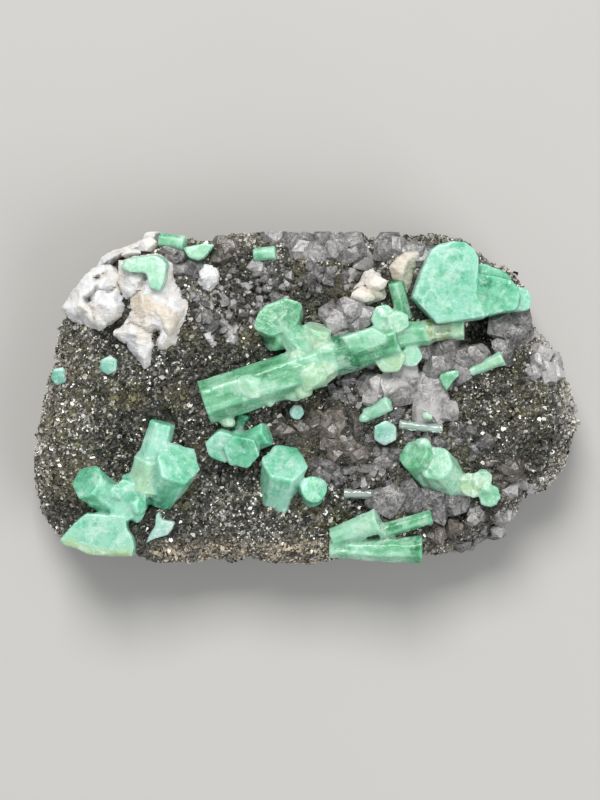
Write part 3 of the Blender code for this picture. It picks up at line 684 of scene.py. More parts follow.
def wear(obj, own, stretched, grooves, rough, seed):
    """Wears united crystals: flat steps and grooves along each, ripples, and chips in their edges."""
    number, plate = plates(cell_noise(stretched * 0.42, seed))
    depth = 0.07 * number * plate
    depth += grooves * (1 + 1.2 * layered_noise(stretched * 1.7, 2, seed + 1))
    depth += 0.02 * (1 + layered_noise(own * 2.0, 2, seed + 2))
    depth *= rough
    depth += 0.3 * bulge(obj.data, 1) * np.clip(smooth_noise(own * 0.7, seed + 3) - 0.1, 0, 1)
    points = points_of(obj.data)
    bend = np.column_stack([smooth_noise(points * 0.3, seed + 4 + i) for i in range(3)])
    set_points(obj.data, points + 0.03 * bend - normals_of(obj.data) * depth[:, None])


# The forms of each node, which one piece stands for.

BERYLS = {
    "beryl_corner_table": [
        Table([(16.0, 15.5), (17.3, 19.6), (19.0, 23.2), (20.4, 24.2), (22.6, 24.7), (24.7, 24.5),
               (26.1, 23.5), (27.0, 22.0), (27.0, 20.3), (26.6, 16.0), (28.0, 12.2), (24.0, 11.6),
               (20.1, 11.1)],
              12.5, 21.4, slope=(-0.04, 0.05), draft=0.35, tint=0.7),
        Table([(25.9, 19.6), (28.6, 19.4), (32.1, 18.7), (33.2, 17.4), (33.7, 15.9), (33.4, 14.1),
               (32.7, 13.2), (30.4, 12.8), (26.0, 12.0)], 12.9, 20.4, slope=(-0.10, -0.02), draft=0.45,
               tint=-0.3),
        Table([(32.4, 17.8), (34.7, 17.3), (35.5, 15.9), (35.4, 14.1), (34.8, 13.4), (32.4, 13.3)],
              13.3, 17.8, slope=(-0.15, 0.0), draft=0.3, tint=0.9),
        Table([(26.0, 20.9), (27.9, 21.2), (29.3, 20.7), (31.1, 20.0), (32.5, 18.6), (30.8, 18.2),
               (26.4, 19.0)],
              13.6, 17.6, slope=(-0.08, -0.1), draft=0.3),
    ],
    "beryl_long_prism": [
        Prism((-16.3, -1.0, 17.5), (2.0, 5.1, 17.3), 7.3, tint=-0.1),
        Prism((0.4, 5.2, 17.2), (14.1, 9.2, 17.6), 6.4, roll=12, tint=-0.3, fade=0.5),
        Prism((12.3, 9.4, 17.0), (19.0, 10.2, 17.1), 4.6, 4.3, roll=8, tint=0.1),
        Prism((18.6, 10.2, 17.1), (22.9, 10.7, 17.2), 4.3, 4.1, roll=8, tint=3.0, grooves=0.14),
        Prism((22.6, 10.7, 17.2), (24.6, 10.9, 17.2), 4.1, 4.0, roll=8, tint=1.3),
        Chunk((1.0, 4.9, 17.6), (8.4, 6.8, 6.4), tint=1.9),
        Prism((1.2, 4.8, 16.6), (-4.6, 12.6, 17.9), 5.0, roll=15, tint=0.1, fade=1.0),
        Prism((-4.0, 11.0, 15.2), (-4.7, 12.6, 19.7), 7.8, 8.8, roll=2, lean=0.3, tint=0.1, squash=0.64,
              soft=0.12, fade=1.0),
        Prism((-2.6, 9.8, 15.2), (-5.9, 9.2, 17.6), 4.6, roll=10, tint=-0.1, soft=0.15),
        Prism((0.4, 5.6, 15.8), (1.7, 11.0, 18.0), 5.0, roll=20, tint=1.6, soft=0.15),
        Prism((12.0, 12.4, 15.0), (11.9, 12.5, 19.4), 4.3, roll=10, tint=0.6, soft=0.1),
        Prism((14.1, 11.8, 15.0), (14.2, 11.9, 19.9), 3.7, roll=35, tint=0.9, soft=0.1),
        Chunk((11.7, 13.0, 18.9), (2.6, 2.4, 2.0), tint=0.9),
        Chunk((14.0, 11.3, 19.4), (2.2, 2.3, 1.8), tint=1.3),
        Chunk((12.8, 10.8, 18.8), (2.6, 2.0, 2.2), tint=1.4),
        Prism((12.7, 6.3, 14.4), (12.8, 6.1, 19.0), 5.3, roll=4, tint=1.8, soft=0.1),
        Prism((16.2, 6.6, 14.2), (16.4, 6.3, 17.8), 3.7, roll=22, tint=0.6, soft=0.15),
        Prism((15.5, 12.3, 15.2), (13.9, 18.2, 16.9), 3.0, roll=20, tint=-0.6),
        Chunk((0.8, 3.4, 19.7), (5.0, 5.2, 2.8), tint=1.6),
        Chunk((2.9, 7.4, 18.9), (4.2, 3.6, 3.0), tint=1.6),
        Chunk((-1.4, 6.2, 19.1), (3.4, 3.2, 2.6), tint=1.6),
        Chunk((-0.6, 0.9, 18.6), (3.4, 2.8, 2.8), tint=1.9),
        Chunk((2.9, 4.4, 19.2), (3.4, 3.0, 2.6), tint=1.8),
        Prism((4.6, 6.4, 17.3), (7.6, 7.3, 17.4), 6.6, roll=12, tint=-1.6),
        Chunk((-8.9, 1.5, 19.9), (5.0, 4.6, 2.8), tint=1.2),
        Chunk((-2.2, 0.3, 17.5), (3.9, 2.4, 2.8), tint=1.7),
        Chunk((-6.0, -1.0, 17.6), (1.9, 1.5, 1.7), tint=1.8),
        Chunk((-12.6, -4.0, 17.0), (2.9, 2.1, 2.4), tint=2.0),
        Table([(4.8, 9.4), (6.9, 10.1), (10.3, 11.2), (12.9, 9.6), (12.4, 8.2), (9.4, 7.2), (6.9, 6.5)],
              18.2, 20.5, slope=(0.03, 0.0), draft=0.35, tint=0.5),
    ],
    "beryl_centre_cluster": [
        Prism((-13.0, -7.0, 13.8), (-13.5, -7.9, 18.7), 5.7, roll=12, tint=0.4, soft=0.1),
        Prism((-10.4, -7.2, 13.8), (-10.5, -8.7, 19.5), 5.9, roll=-8, tint=0.1, soft=0.05),
        Prism((-10.4, -7.6, 15.0), (-6.3, -5.7, 16.9), 4.2, roll=10, tint=-0.6),
        Chunk((-13.3, -7.4, 18.4), (2.6, 2.2, 1.2), tint=0.9),
        Chunk((-10.0, -8.2, 19.2), (2.2, 2.0, 1.1), tint=0.9),
        Prism((-11.6, -6.4, 14.6), (-10.0, -2.6, 15.4), 2.6, tint=-1.0),
    ],
    "beryl_leaning_prism": [
        Prism((-5.5, -19.2, 12.2), (-3.6, -10.2, 18.6), 5.2, 7.4, roll=2, lean=0.25, tint=0.3, fade=0.8,
              soft=0.06),
        Prism((0.5, -15.9, 13.2), (0.95, -14.4, 18.6), 4.9, roll=16, tint=0.2, soft=0.25),
    ],
    "beryl_lower_left_cluster": [
        Prism((-25.8, -14.8, 16.0), (-22.8, -4.0, 17.6), 6.0, 4.2, roll=12, tint=0.1, fade=1.6),
        Prism((-23.4, -15.9, 13.6), (-20.2, -10.4, 19.2), 6.3, 7.0, roll=14, lean=0.4, tint=0.3, fade=-0.6,
              soft=0.03),
        Prism((-29.8, -17.4, 14.6), (-34.8, -13.2, 17.8), 5.6, 6.2, roll=14, lean=0.3, tint=0.1, soft=0.05),
        Prism((-28.4, -16.6, 13.6), (-28.5, -16.1, 18.2), 6.8, roll=24, lean=0.2, tint=0.4, soft=0.05),
        Prism((-28.0, -14.9, 15.3), (-28.3, -12.5, 17.1), 2.5, roll=17),
        Prism((-25.8, -14.8, 15.2), (-24.6, -9.4, 17.2), 6.6, 5.8, roll=25, tint=1.3, fade=0.5),
        Chunk((-29.8, -15.2, 17.9), (3.4, 2.8, 2.2), cuts=12, tint=0.8),
        Chunk((-26.9, -17.2, 17.7), (3.0, 3.2, 2.4), cuts=12, tint=0.5),
        Chunk((-33.2, -16.2, 16.8), (3.8, 3.2, 3.4), cuts=12, tint=-0.1),
        Chunk((-27.0, -18.6, 16.3), (2.9, 2.6, 3.4), cuts=12, tint=0.9),
        Table([(-39.4, -22.5), (-37.0, -19.6), (-35.0, -18.0), (-33.0, -18.0), (-31.0, -18.2),
               (-28.4, -18.6), (-28.0, -20.8), (-27.2, -22.0), (-26.9, -23.6), (-27.3, -25.2),
               (-31.0, -25.3), (-35.0, -24.9), (-36.6, -24.0), (-38.8, -23.4)], 11.4, 17.9,
               slope=(0.05, 0.10), draft=0.4, tint=1.0),
        Table([(-39.3, -22.7), (-37.6, -22.4), (-34.6, -23.5), (-31.0, -24.3), (-27.4, -24.2),
               (-27.4, -25.2), (-31.0, -25.3), (-35.0, -24.9), (-36.6, -24.0), (-38.8, -23.4)], 11.4, 17.7,
              slope=(0.05, 0.10), draft=0.2, tint=2.6),
    ],
    "beryl_right_cluster": [
        Prism((23.0, -13.6, 13.6), (20.0, -10.3, 19.3), 6.8, 5.8, roll=8, lean=0.2, tint=0.9, soft=0.14),
        Prism((21.0, -13.0, 13.8), (16.6, -8.9, 18.2), 6.4, 5.4, roll=20, lean=0.2, tint=-0.1, soft=0.1),
        Chunk((23.9, -14.4, 15.6), (3.6, 3.0, 3.6), tint=0.9),
        Chunk((18.3, -7.4, 17.6), (3.0, 2.2, 3.0), cuts=16, tint=0.7),
        Prism((25.7, -14.1, 13.6), (25.8, -13.8, 17.3), 4.2, roll=5, tint=2.2),
        Prism((27.6, -13.2, 13.6), (27.6, -12.9, 17.5), 3.4, roll=25, tint=1.7),
        Prism((28.5, -15.6, 13.6), (28.7, -15.6, 17.2), 3.8, roll=14, tint=0.4),
        Chunk((24.7, -13.0, 16.9), (1.9, 1.7, 2.0), cuts=14, tint=2.3),
        Chunk((26.2, -15.2, 16.8), (1.8, 1.9, 2.0), cuts=14, tint=2.1),
        Chunk((26.8, -13.9, 17.2), (1.7, 1.6, 1.8), cuts=14, tint=2.2),
        Chunk((28.2, -14.6, 17.1), (1.6, 1.7, 1.8), cuts=14, tint=0.6),
        Chunk((29.3, -16.6, 16.6), (1.6, 1.5, 1.8), cuts=14, tint=0.3),
        Chunk((27.7, -12.0, 16.9), (1.7, 1.5, 1.8), cuts=14, tint=0.6),
    ],
    "beryl_bottom_bundle": [
        Prism((3.9, -22.2, 15.4), (11.2, -19.4, 17.4), 3.4, 4.6, roll=10, tint=1.1, fade=-1.0, soft=0.12),
        Prism((11.2, -21.4, 16.0), (19.6, -18.9, 16.9), 2.7, roll=8, tint=-0.2, soft=0.12),
        Prism((3.4, -24.0, 14.8), (18.2, -24.2, 15.8), 3.4, 5.0, roll=4, tint=-0.5, fade=1.7, grooves=0.1),
    ],
    "beryl_in_feldspar": [
        Table([(-29.7, 20.3), (-28.9, 21.8), (-27.0, 22.3), (-23.6, 22.6), (-22.3, 21.9), (-21.6, 20.8),
               (-21.9, 18.0), (-22.8, 16.1), (-24.6, 16.6), (-25.5, 19.0), (-28.5, 19.5)],
              16.4, 20.6, slope=(0.05, -0.06), draft=0.5, tint=1.0),
    ],
    "beryl_shard": [
        Table([(-25.8, -23.4), (-25.4, -22.2), (-24.3, -20.4), (-24.0, -18.3), (-23.3, -17.9),
               (-22.9, -19.2), (-20.7, -19.6), (-21.2, -21.0), (-21.9, -21.9), (-24.4, -22.7)], 13.9, 16.5,
               draft=0.2, tint=0.9),
    ],
    "beryl_slanting_prism": [
        Prism((9.2, -3.0, 15.3), (13.0, -1.0, 16.7), 2.6, 3.0, roll=10, tint=0.6, soft=0.16),
        Chunk((9.0, -3.4, 15.8), (2.4, 1.7, 2.0), tint=0.9),
        Chunk((12.4, -0.9, 16.7), (2.4, 2.0, 1.8), tint=0.4),
    ],
    "beryl_hexagon": [Prism((12.3, -5.7, 13.4), (12.3, -5.6, 17.3), 4.3, roll=28)],
    "beryl_clear_needle": [Prism((14.4, -4.3, 16.3), (21.4, -5.1, 16.7), 1.7)],
    "beryl_clear_stub": [Prism((5.7, -15.3, 15.7), (11.2, -15.4, 15.9), 1.9)],
    "beryl_right_chip": [
        Table([(20.4, 3.0), (20.8, 3.9), (22.6, 4.4), (24.1, 4.4), (24.1, 3.4), (23.2, 2.4), (21.8, 0.7),
               (21.0, 1.8)], 13.6, 18.0, slope=(0.05, 0.08), draft=0.25, tint=0.2),
    ],
    "beryl_right_needle": [Prism((25.6, 3.9, 16.4), (30.8, 6.2, 17.2), 1.8, 2.7, tint=1.2)],
    "beryl_blue_grain": [Prism((-1.8, -2.6, 13.6), (-1.7, -2.4, 16.4), 2.6, roll=20)],
    "beryl_left_hexagon": [Prism((-31.4, 4.9, 13.4), (-31.4, 5.0, 16.9), 3.3, roll=26)],
    "beryl_left_edge_grain": [Prism((-39.2, 3.2, 11.2), (-39.3, 3.3, 15.4), 3.2, roll=10, tint=0.4)],
    "beryl_top_edge_left": [Prism((-23.4, 24.9, 14.8), (-19.4, 24.2, 16.1), 2.7, roll=8, tint=0.4,
                                  soft=0.16)],
    "beryl_top_edge_right": [
        Table([(-20.0, 23.7), (-18.6, 24.0), (-16.0, 24.4), (-14.5, 24.1), (-15.4, 22.8), (-16.2, 21.8),
               (-17.3, 21.3), (-18.9, 21.8)], 12.6, 17.7, slope=(0.05, -0.08), draft=0.2, tint=1.2),
    ],
    "beryl_top_grain": [Prism((-8.5, 22.5, 15.4), (-5.0, 22.8, 16.0), 2.6, roll=6, tint=0.6, soft=0.16)],
    "beryl_chip": [Chunk((18.8, -3.0, 17.6), (2.0, 1.5, 1.8), cuts=8, tint=1.4)],
}

MINT_BERYLS = [
    "beryl_corner_table", "beryl_lower_left_cluster", "beryl_centre_cluster", "beryl_leaning_prism",
]

FELDSPARS = {
    "feldspar_left": [
        Lump([(-38.8, 14.0), (-37.8, 16.5), (-35.0, 19.7), (-33.0, 21.2), (-31.0, 21.2), (-29.4, 19.4),
              (-29.2, 16.2), (-28.6, 14.2), (-29.7, 12.5), (-31.0, 11.4), (-33.2, 10.7), (-35.2, 11.5),
              (-36.6, 11.8), (-37.7, 12.6)], 10.0, 19.8,
             pits=[((-33.4, 18.9), 0.7, 1.6), ((-34.8, 15.4), 0.9, 2.2), ((-31.4, 16.6), 1.2, 0.8),
                   ((-36.6, 15.6), 1.0, 0.5), ((-32.2, 13.2), 0.9, 0.7)],
             cracks=[((-34.8, 15.4), (-33.0, 17.0), 0.4, 1.4), ((-33.0, 17.0), (-30.4, 17.2), 0.3, 0.9),
                     ((-34.8, 15.4), (-34.0, 12.4), 0.35, 0.7), ((-33.4, 18.9), (-31.2, 20.2), 0.3, 0.7)]),
    ],
    "feldspar_middle": [
        Lump([(-30.0, 17.2), (-30.2, 21.8), (-24.0, 22.9), (-21.4, 21.4), (-20.8, 18.5), (-19.1, 15.6),
              (-19.0, 13.6), (-20.2, 10.0), (-21.0, 8.3), (-22.6, 7.4), (-24.2, 7.3), (-24.9, 5.0),
              (-25.8, 4.2), (-26.9, 5.6), (-28.1, 7.9), (-30.6, 10.0), (-28.6, 12.4), (-28.2, 14.2),
              (-29.1, 15.4)],
             11.5, 19.6,
             pits=[((-23.8, 9.9), 0.9, 1.8), ((-28.0, 15.6), 0.9, 1.2), ((-26.4, 11.4), 0.6, 0.7),
                   ((-22.0, 16.0), 0.8, 0.5)],
             cracks=[((-23.9, 10.0), (-23.9, 6.8), 0.4, 2.6), ((-29.0, 14.6), (-26.8, 16.5), 0.35, 1.8),
                     ((-28.4, 11.6), (-24.6, 9.8), 0.35, 1.1), ((-26.6, 16.4), (-25.4, 19.2), 0.3, 0.9),
                     ((-24.8, 14.2), (-21.0, 12.6), 0.2, 0.5)]),
        Lump([(-27.6, 17.2), (-24.4, 18.6), (-21.6, 17.4), (-19.6, 13.8), (-20.6, 10.4), (-21.6, 8.8),
              (-22.9, 9.8), (-24.8, 10.6), (-27.2, 11.8), (-27.9, 14.4)], 13.0, 20.2, tint=1.0,
             rough=0.5, pits=[((-23.8, 9.9), 0.9, 1.8)]),
    ],
    "feldspar_rim": [
        Lump([(-34.2, 20.6), (-32.6, 22.3), (-30.0, 23.7), (-27.5, 24.8), (-26.2, 25.0), (-24.2, 26.7),
              (-23.3, 26.4), (-24.0, 23.6), (-26.0, 23.0), (-28.5, 22.2), (-30.4, 21.2), (-32.4, 20.0)],
             7.5, 17.6, rough=0.9),
        Chunk((-25.3, 24.0, 14.6), (2.8, 2.6, 3.0), cuts=10, worn=0.02, tint=0.4),
        Chunk((-28.2, 23.0, 14.2), (3.6, 1.8, 3.0), cuts=9, worn=0.02, tint=0.2),
    ],
    "feldspar_small": [
        Lump([(-18.0, 18.4), (-17.5, 20.0), (-16.5, 20.9), (-15.0, 20.9), (-14.2, 19.9), (-14.4, 17.9),
              (-15.6, 16.2), (-17.1, 17.0)], 12.8, 18.8),
    ],
    "feldspar_cream": [
        Lump([(6.5, 16.2), (7.3, 17.3), (8.4, 18.2), (9.0, 19.7), (10.1, 20.1), (11.6, 19.4), (12.4, 17.6),
              (12.4, 15.6), (10.9, 14.9), (9.0, 14.2), (7.7, 14.5)], 12.6, 19.0,
             cracks=[((6.8, 16.4), (9.4, 18.0), 0.3, 1.0), ((9.4, 18.0), (12.2, 17.0), 0.3, 0.9)],
             tint=0.6, rough=0.5),
        Chunk((10.7, 17.9, 17.8), (3.4, 3.0, 2.4), cuts=12, worn=0.02, tint=0.6),
        Chunk((8.8, 16.0, 17.4), (3.8, 2.8, 2.4), cuts=12, worn=0.02, tint=0.9),
    ],
    "feldspar_upper_cream": [
        Lump([(12.6, 20.6), (14.0, 22.4), (16.0, 23.7), (18.3, 24.1), (18.6, 22.9), (17.0, 20.4),
              (16.2, 17.4), (15.4, 15.6), (14.4, 16.6), (13.2, 18.8)], 12.6, 18.6, tint=1.0, rough=0.6),
    ],
}

QUARTZ_GRAINS = {
    "quartz_top_band": [
        Bed([(-7.8, 26.0), (0.0, 25.9), (10.0, 25.4), (18.8, 24.4), (19.5, 21.5), (16.0, 20.8), (8.4, 21.6),
             (2.8, 22.2), (-1.2, 21.4), (-7.4, 23.2)], 2.2, 0.5, tint=0.0),
    ],
    "quartz_smoky_knob": [Chunk((-13.2, 23.3, 13.8), (5.2, 4.4, 4.8))],
    "quartz_pink_grain": [Chunk((-7.7, 20.5, 14.6), (3.6, 3.0, 3.8), tint=0.5)],
    "quartz_blue_grey": [
        Bed([(-23.2, 23.6), (-18.6, 23.8), (-17.2, 21.0), (-18.0, 18.6), (-20.6, 18.8), (-22.0, 21.0)],
            1.7, 0.3, tint=-0.4),
    ],
    "quartz_above_prism": [
        Bed([(1.8, 13.8), (3.6, 15.4), (6.0, 15.6), (10.6, 13.2), (9.6, 10.8), (4.9, 9.0), (2.6, 9.4)],
            2.2, 1.3, tint=0.3),
    ],
    "quartz_right_bank": [
        Bed([(16.4, 4.6), (16.8, 9.2), (21.2, 9.4), (24.2, 10.6), (25.4, 8.6), (28.4, 7.8), (30.2, 7.0),
             (28.9, 5.6), (25.4, 2.8), (22.6, 1.6), (20.4, 2.4)], 2.5, 0.9),
    ],
    "quartz_right_ledge": [
        Bed([(29.2, 8.6), (28.8, 12.8), (33.0, 13.4), (35.0, 11.8), (34.6, 9.3), (32.8, 6.8), (30.4, 6.6)],
            2.5, 1.0, tint=-0.8),
    ],
    "quartz_middle_bank": [
        Bed([(10.0, 3.6), (14.0, 5.2), (18.0, 5.4), (22.4, 3.6), (23.4, 0.0), (23.0, -2.6), (21.4, -4.6),
             (17.6, -4.1), (14.9, -3.0), (13.2, -0.6)], 2.6, 1.0, tint=0.6),
    ],
    "quartz_middle_grain": [Bed([(7.0, 0.8), (9.0, 4.0), (14.8, 4.6), (15.4, 1.0), (12.0, -2.2)], 1.9,
                                0.5)],
    "quartz_brown_grain": [Chunk((29.1, 2.2, 14.4), (3.8, 2.8, 4.2))],
    "quartz_right_edge": [
        Bed([(34.4, 7.4), (37.2, 7.9), (40.5, 5.6), (39.7, 1.8), (36.0, 1.4), (34.2, 4.0)], 1.8, 0.8,
            tint=1.0),
    ],
    "quartz_smoky_centre": [
        Chunk((-3.4, -5.4, 14.0), (5.2, 3.8, 4.6)), Chunk((0.4, -4.7, 14.4), (5.4, 4.6, 4.8), tint=-0.3),
        Bed([(-1.0, -3.0), (7.0, -2.0), (9.8, -6.0), (8.4, -11.4), (5.0, -10.8), (2.4, -9.6),
             (-0.6, -7.2)], 2.0,
            -0.3, tint=0.1),
    ],
    "quartz_lower_bank": [
        Bed([(10.8, -14.2), (14.8, -13.4), (18.6, -13.8), (23.6, -14.8), (25.2, -17.0), (24.0, -19.1),
             (20.9, -19.8), (19.4, -18.8), (15.0, -18.8), (12.2, -17.8)], 2.9, 0.9, tint=-0.5),
    ],
    "quartz_smoky_grains": [
        Chunk((20.6, -21.6, 13.4), (4.2, 4.0, 4.4)), Chunk((23.0, -20.5, 13.6), (3.6, 3.6, 4.2)),
    ],
    "quartz_lower_grain": [Chunk((26.7, -18.4, 14.0), (3.4, 3.2, 4.2), tint=0.3)],
    "quartz_grey_pair": [Chunk((30.7, -18.5, 13.2), (3.6, 3.8, 4.6), tint=0.4)],
    "quartz_pale_grain": [Chunk((31.7, -14.9, 13.8), (3.4, 3.2, 4.4), tint=0.9)],
    "quartz_smoky_lens": [
        Chunk((32.2, -11.1, 15.0), (5.4, 4.4, 4.8), tint=-0.5), Chunk((28.7, -10.3, 14.7), (4.6, 3.4, 4.4)),
    ],
    "quartz_grey_lens": [Chunk((24.6, -8.6, 14.0), (3.2, 2.6, 4.0))],
    "quartz_rim_grain": [Chunk((30.4, -21.2, 12.2), (2.4, 2.2, 2.8), tint=1.0)],
}


# Materials.

def colour(code):
    """A linear colour from its web code."""
    parts = [int(code[i:i + 2], 16) / 255 for i in (0, 2, 4)]
    return tuple(p / 12.92 if p <= 0.04045 else ((p + 0.055) / 1.055) ** 2.4 for p in parts) + (1.0,)


def tone_of(code):
    """A linear colour without its alpha, for arithmetic."""
    return np.array(colour(code)[:3])


class Recipe:
    """A material in the making: each step adds nodes and gives back their output.

    Places and scales are in millimetres."""

    def __init__(self, name):
        self.material = bpy.data.materials.new(name)
        self.material.use_nodes = True
        self.tree = self.material.node_tree
        self.surface = self.tree.nodes["Principled BSDF"]
        place = self.add("ShaderNodeTexCoord").outputs["Object"]
        self.place = self.scaled(place, 1 / MM)

    def add(self, kind, inputs=None, **settings):
        """A new node. Its inputs are values or other nodes' outputs."""
        node = self.tree.nodes.new(kind)
        for name, value in settings.items():
            setattr(node, name, value)
        for socket, value in (inputs or {}).items():
            self.give(node.inputs[socket], value)
        return node

    def give(self, socket, value):
        if isinstance(value, bpy.types.NodeSocket):
            self.tree.links.new(value, socket)
        else:
            socket.default_value = value

    def scaled(self, value, factor):
        return self.add("ShaderNodeVectorMath", {0: value, "Scale": factor}, operation="SCALE").outputs[0]

    def stretched(self, place, scale, turn=0.0):
        """The place, turned in plan and stretched."""
        return self.add("ShaderNodeMapping", {"Vector": place, "Rotation": (0, 0, turn),
                                              "Scale": scale}).outputs[0]

    def bent(self, reach):
        """The place, pushed about by up to the reach."""
        drift = self.add("ShaderNodeTexNoise", {"Vector": self.place, "Scale": 0.5}).outputs["Color"]
        return self.add("ShaderNodeVectorMath", {0: self.place, 1: self.scaled(drift, reach)}).outputs[0]

    def noise(self, scale, detail=3.0, roughness=0.55, distortion=0.0, place=None):
        return self.add("ShaderNodeTexNoise", {"Vector": place or self.place, "Scale": scale,
                                               "Detail": detail, "Roughness": roughness,
                                               "Distortion": distortion}).outputs[0]

    def cells(self, scale, output="Distance", place=None):
        cells = self.add("ShaderNodeTexVoronoi", {"Vector": place or self.place, "Scale": scale})
        return cells.outputs[output]

    def seams(self, scale, place, width):
        """1 on the borders between cells, falling to 0 from the first to the second distance in width."""
        cells = self.add("ShaderNodeTexVoronoi", {"Vector": place, "Scale": scale},
                         feature="DISTANCE_TO_EDGE")
        return self.levels(cells.outputs["Distance"], *width, 1.0, 0.0)

    def height(self):
        """How high the place is."""
        return self.add("ShaderNodeSeparateXYZ", {0: self.place}).outputs["Z"]

    def stored(self, name, output="Fac"):
        """What the mesh stores at each of its points under this name."""
        return self.add("ShaderNodeAttribute", attribute_name=name).outputs[output]

    def levels(self, value, low, high, start=0.0, end=1.0):
        """The value's range from low to high, spread over start to end."""
        return self.add("ShaderNodeMapRange", {"Value": value, "From Min": low, "From Max": high,
                                               "To Min": start, "To Max": end}).outputs[0]

    def sum(self, *values):
        total = values[0]
        for value in values[1:]:
            total = self.add("ShaderNodeMath", {0: total, 1: value}, operation="ADD").outputs[0]
        return total

    def times(self, value, factor):
        return self.add("ShaderNodeMath", {0: value, 1: factor}, operation="MULTIPLY").outputs[0]

    def mix(self, share, first, second, blend="MIX"):
        """The first tone at a share of 0, and the second one at 1."""
        node = self.add("ShaderNodeMix", data_type="RGBA", blend_type=blend)
        for socket, value in ((0, share), (6, first), (7, second)):
            self.give(node.inputs[socket], value)
        return node.outputs[2]

    def over(self, tone, layer, share, strength):
        """The tone with another laid over it, as thickly as the share times the strength."""
        return self.mix(self.times(share, strength), tone, layer)

    def bumps(self, *layers):
        """The surface with relief: pairs of a height and how far it stands out, one on another."""
        normal = None
        for height, distance in layers:
            inputs = {"Height": height, "Distance": distance * MM, "Strength": 1.0}
            if normal:
                inputs["Normal"] = normal
            normal = self.add("ShaderNodeBump", inputs).outputs[0]
        return normal

    def finish(self, **inputs):
        """The material, with these inputs of its surface: Base_Color is Base Color."""
        for name, value in inputs.items():
            self.give(self.surface.inputs[name.replace("_", " ")], value)
        return self.material


def beryl_stone(make, palette, lengthwise):
    """Beryl's tone, clouded along its length and paler at its edges, with painted shade that deepens it
    lower down: cream past 1, fibrous near 3.
    """
    deep, middle, pale = map(colour, palette)
    tint = make.stored("tint")
    streak = make.noise(0.85, 4, 0.62, 0.2, lengthwise)
    cloud = make.noise(0.22, 3, 0.55, 0.3)
    drift = make.sum(make.levels(cloud, 0.3, 0.7, -0.9, 0.8), make.levels(streak, 0.3, 0.7, -0.7, 0.75))
    # The paleness takes in painted shade: the beryl turns deeper green lower down, as if less light reaches
    # there.
    paleness = make.sum(make.times(drift, make.levels(tint, 0.8, 1.6, 1.0, 0.5)), tint,
                        make.times(make.stored("edge"), 0.5),
                        make.levels(make.height(), 13.0, 18.5, -0.7, 0.1))
    tone = make.mix(make.levels(paleness, -1.4, -0.1), deep, middle)
    tone = make.mix(make.levels(paleness, 0.0, 1.0), tone, pale)
    creaminess = make.sum(tint, make.times(drift, 0.3))
    tone = make.mix(make.levels(creaminess, 0.9, 1.9), tone, colour("adcfa9"))
    fibre = make.mix(make.levels(streak, 0.35, 0.65), colour("6c8550"), colour("a9b987"))
    return make.mix(make.levels(creaminess, 2.3, 3.0), tone, fibre)


def frosted(make, tone, frost):
    """The tone with a veil, a net of veins, specks and cross cracks of frost over it."""
    crosswise = make.stretched(make.stored("grain", "Vector"), (0.22, 0.22, 1.1))
    tone = make.over(tone, frost, make.levels(make.noise(0.34, 6, 0.72, 0.2), 0.53, 0.59), 0.4)
    veins = make.times(make.seams(0.36, make.bent(3.0), (0.02, 0.11)),
                       make.levels(make.noise(0.2, 3), 0.42, 0.56))
    tone = make.over(tone, frost, veins, make.levels(make.stored("tint"), 0.2, 0.8, 0.12, 0.6))
    tone = make.over(tone, frost, make.levels(make.noise(2.2, 3, 0.7, 0.6), 0.56, 0.66), 0.2)
    cracks = make.times(make.seams(0.45, crosswise, (0.0, 0.025)),
                        make.levels(make.noise(0.35, 2), 0.48, 0.6))
    return make.over(tone, frost, cracks, 0.35)


def beryl(name, palette, transmission):
    """Milky beryl with grooves along its length. Its palette runs from deep to pale, and then frost."""
    make = Recipe(name)
    lengthwise = make.stretched(make.stored("grain", "Vector"), (1.0, 1.0, 0.16))
    *stone, frost = palette
    tone = frosted(make, beryl_stone(make, stone, lengthwise), colour(frost))
    relief = make.bumps((make.noise(3.2, 3, 0.6, 0.0, lengthwise), 0.04),
                        (make.noise(1.5, 2, 0.5, 0.0, lengthwise), 0.06),
                        (make.noise(0.6, 2, 0.5, 0.5), 0.18))
    gloss = make.levels(make.noise(0.7, 3, 0.6), 0.35, 0.7, 0.22, 0.42)
    return make.finish(Base_Color=tone, Roughness=gloss, IOR=BERYL_IOR, Normal=relief,
                       Subsurface_Weight=0.75, Subsurface_Radius=(0.5, 1.0, 0.75), Subsurface_Scale=0.002,
                       Transmission_Weight=transmission, Specular_IOR_Level=0.35)


def clear_beryl():
    """Clear glassy beryl of the needle and the stub, which turns green with its depth."""
    make = Recipe("clear_beryl")
    veil = make.levels(make.noise(0.9, 4, 0.6, 1.0), 0.45, 0.7)
    tone = make.mix(veil, colour("dcf3e8"), colour("f8fdfb"))
    depth = make.add("ShaderNodeVolumeAbsorption", {"Color": (0.5, 0.9, 0.75, 1.0), "Density": 150.0})
    make.give(make.tree.nodes["Material Output"].inputs["Volume"], depth.outputs["Volume"])
    return make.finish(Base_Color=tone, Roughness=0.07, IOR=BERYL_IOR, Transmission_Weight=0.7,
                       Normal=make.bumps((make.noise(1.2, 2, 0.5), 0.08)))


